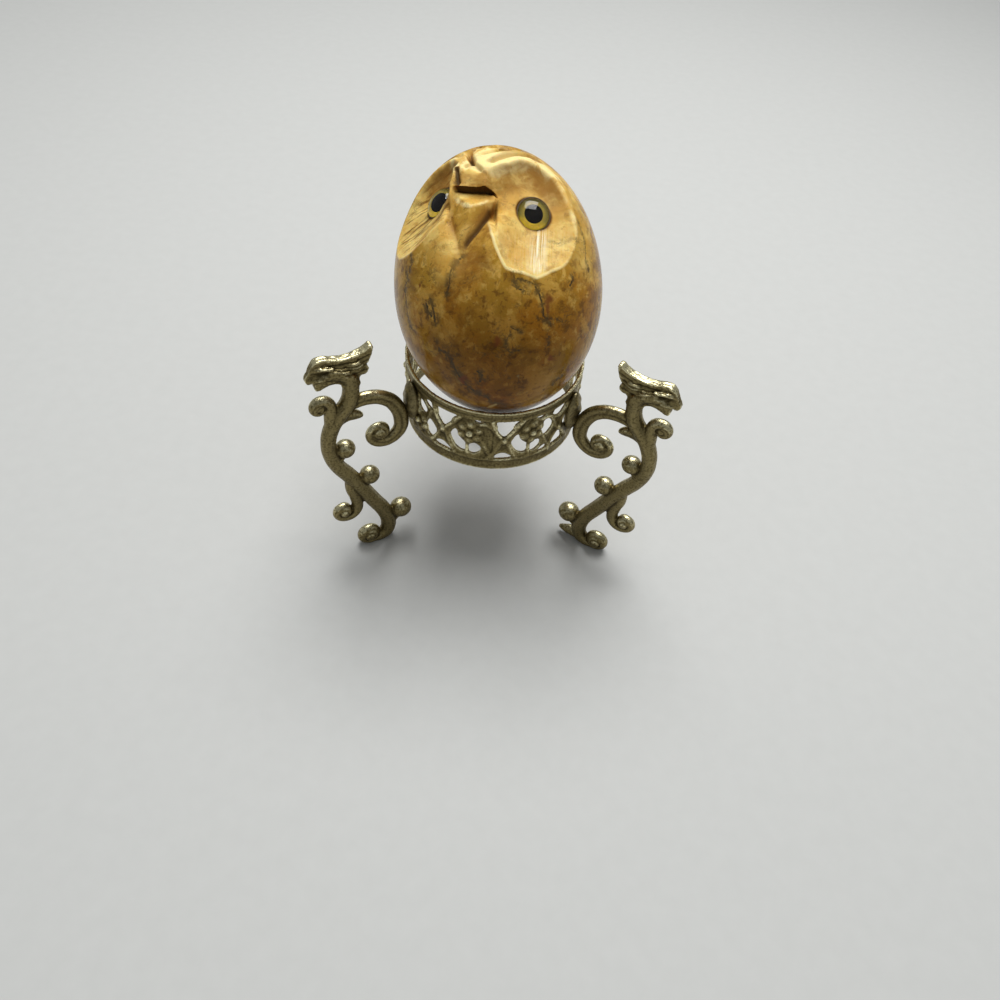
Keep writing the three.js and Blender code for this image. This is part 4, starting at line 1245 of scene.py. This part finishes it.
# %% [markdown]
# The pressing die raised the pattern: a flower of six petals in every bay, ribs along the crossing stems,
# and small leaves. They are added as flattened balls and wires on the ribbon's face, which is then
# rolled up.

# %% Raise the pattern and roll the ribbon
RIBS = [
    [(-0.4, 0.9, 0.5), (-1.9, 3, 0.5), (-2.7, 5.9, 0.6)], [(0.4, 0.9, 0.5), (2, 3, 0.5), (3.9, 5.9, 0.6)],
    [(-0.4, 0.6, 0.5), (-1.5, -2.2, 0.5), (-3.2, -5, 0.6)], [(0.4, 0.6, 0.5), (1.5, -2.4, 0.5), (2.9, -5, 0.6)],
    [(-2.4, -4.4, 0.3), (-1.4, -3.3, 0.38), (-0.2, -2.8, 0.4), (1.2, -3.4, 0.38), (2.2, -4.4, 0.3)],
    [(5.5, -0.6, 0.45), (5.5, -2.6, 0.42), (5.7, -5, 0.5)],
    [(8.4, 0.2, 0.4), (9.2, -1.4, 0.5), (9.9, -3, 0.5), (11.2, -4.6, 0.5)],
    [(7.9, 4.4, 0.4), (9.2, 4.7, 0.5), (10.6, 3.9, 0.5), (11.6, 2.6, 0.5)],
]
FLOWER_X, FLOWER_Z, FIRST_TURN = 6.0, 1.9, -78
raised = [plate]
for _, x, flip in bays:
    for rib in RIBS:
        raised.append(wire([(x + a, flip * z, r) for a, z, r in rib], -0.1))
    raised.append(ball(x + FLOWER_X, FLOWER_Z * flip, 0.85, -0.5))
    raised.append(ball(x, 0.4 * flip, 0.75, -0.35, (1, 0.8, 1.2)))
    for petal in range(6):
        turn = math.radians(60 * petal + 25)
        petal_x, petal_z = x + FLOWER_X + 1.75 * math.cos(turn), (FLOWER_Z + 2.1 * math.sin(turn)) * flip
        raised.append(ball(petal_x, petal_z, 1.12, -0.15, (1, 0.62, 1)))
strip = join(raised, "gallery")
points = points_of(strip)
turn = math.radians(FIRST_TURN) + points[:, 0] / RING_RADIUS
radius = RING_RADIUS - 0.42 - points[:, 1]
move_points(strip, np.stack([radius * np.cos(turn), radius * np.sin(turn), points[:, 2]], axis=1))
print("rolled ribbon, radius", round(float(radius.min()), 2), "to", round(float(radius.max()), 2), "mm")

# %% [markdown]
# The rims are flat bands with raised lines along them. A circle extruded upwards and thickened is the
# band, and thin tori are its lines.

# %% Rims, and the ring as one piece
ROUND = 240
RIMS = [(5.75, 8.05, ((7.92, 0.30), (7.2, 0.2), (6.0, 0.16))), (-8.0, -4.95, ((-5.25, 0.24), (-7.8, 0.24)))]
rims = [strip]
for low, high, lines in RIMS:
    band = add(bpy.ops.mesh.primitive_circle_add, vertices=ROUND, radius=RING_RADIUS - 0.06, location=(0, 0, low))
    edit_all()
    bpy.ops.mesh.select_mode(type="EDGE")
    bpy.ops.mesh.select_all(action="SELECT")
    extrude(0, 0, high - low)
    face_outward()
    apply_modifier(band, "SOLIDIFY", thickness=0.6, offset=-1.0)
    rims.append(band)
    for z, thick in lines:
        rims.append(add(
            bpy.ops.mesh.primitive_torus_add, major_radius=RING_RADIUS - 0.1, minor_radius=thick,
            major_segments=ROUND, minor_segments=12, location=(0, 0, z),
        ))
gallery = join(rims, "gallery")
apply_modifier(gallery, "REMESH", mode="VOXEL", voxel_size=0.23)
apply_modifier(gallery, "SMOOTH", factor=0.5, iterations=1)
mark_relief(gallery, 24)
ring_place = STAND_PLACE @ Matrix.Translation((0, 0, RING_MIDDLE))
settle(gallery, ring_place, "stand", ["gallery_ring"], antique_brass)

# %% [markdown]
# Solder ran into the gap between each leg and the ring and set as a smooth, slightly lumpy pad. A
# flattened ball is curved to the ring and made uneven.

# %% Solder pads
for side, (turn, _) in LEGS.items():
    pad = add(bpy.ops.mesh.primitive_uv_sphere_add, f"{side}_solder_pad", segments=48, ring_count=32, radius=1.0)
    edit_all()
    bpy.ops.transform.resize(value=(1.45, 2.5, 5.0), center_override=(0, 0, 0))
    bpy.ops.mesh.subdivide(number_cuts=1)
    stop_editing()
    x, y, z = points_of(pad).T
    lump = 1 + 0.12 * np.sin(1.9 * y + turn) * np.cos(1.1 * z) + 0.07 * np.sin(2.7 * z + turn)
    radius = RING_RADIUS + 0.55 + x * lump
    bend = y / RING_RADIUS
    move_points(pad, np.stack([radius * np.cos(bend), radius * np.sin(bend), z * (0.96 + 0.04 * lump)], axis=1))
    mark_relief(pad, 6)
    place = STAND_PLACE @ spin(turn, "Z") @ Matrix.Translation((0, 0, RING_MIDDLE + 1.3))
    settle(pad, place, "stand", [f"{side}_leg_solder"], solder_skin)
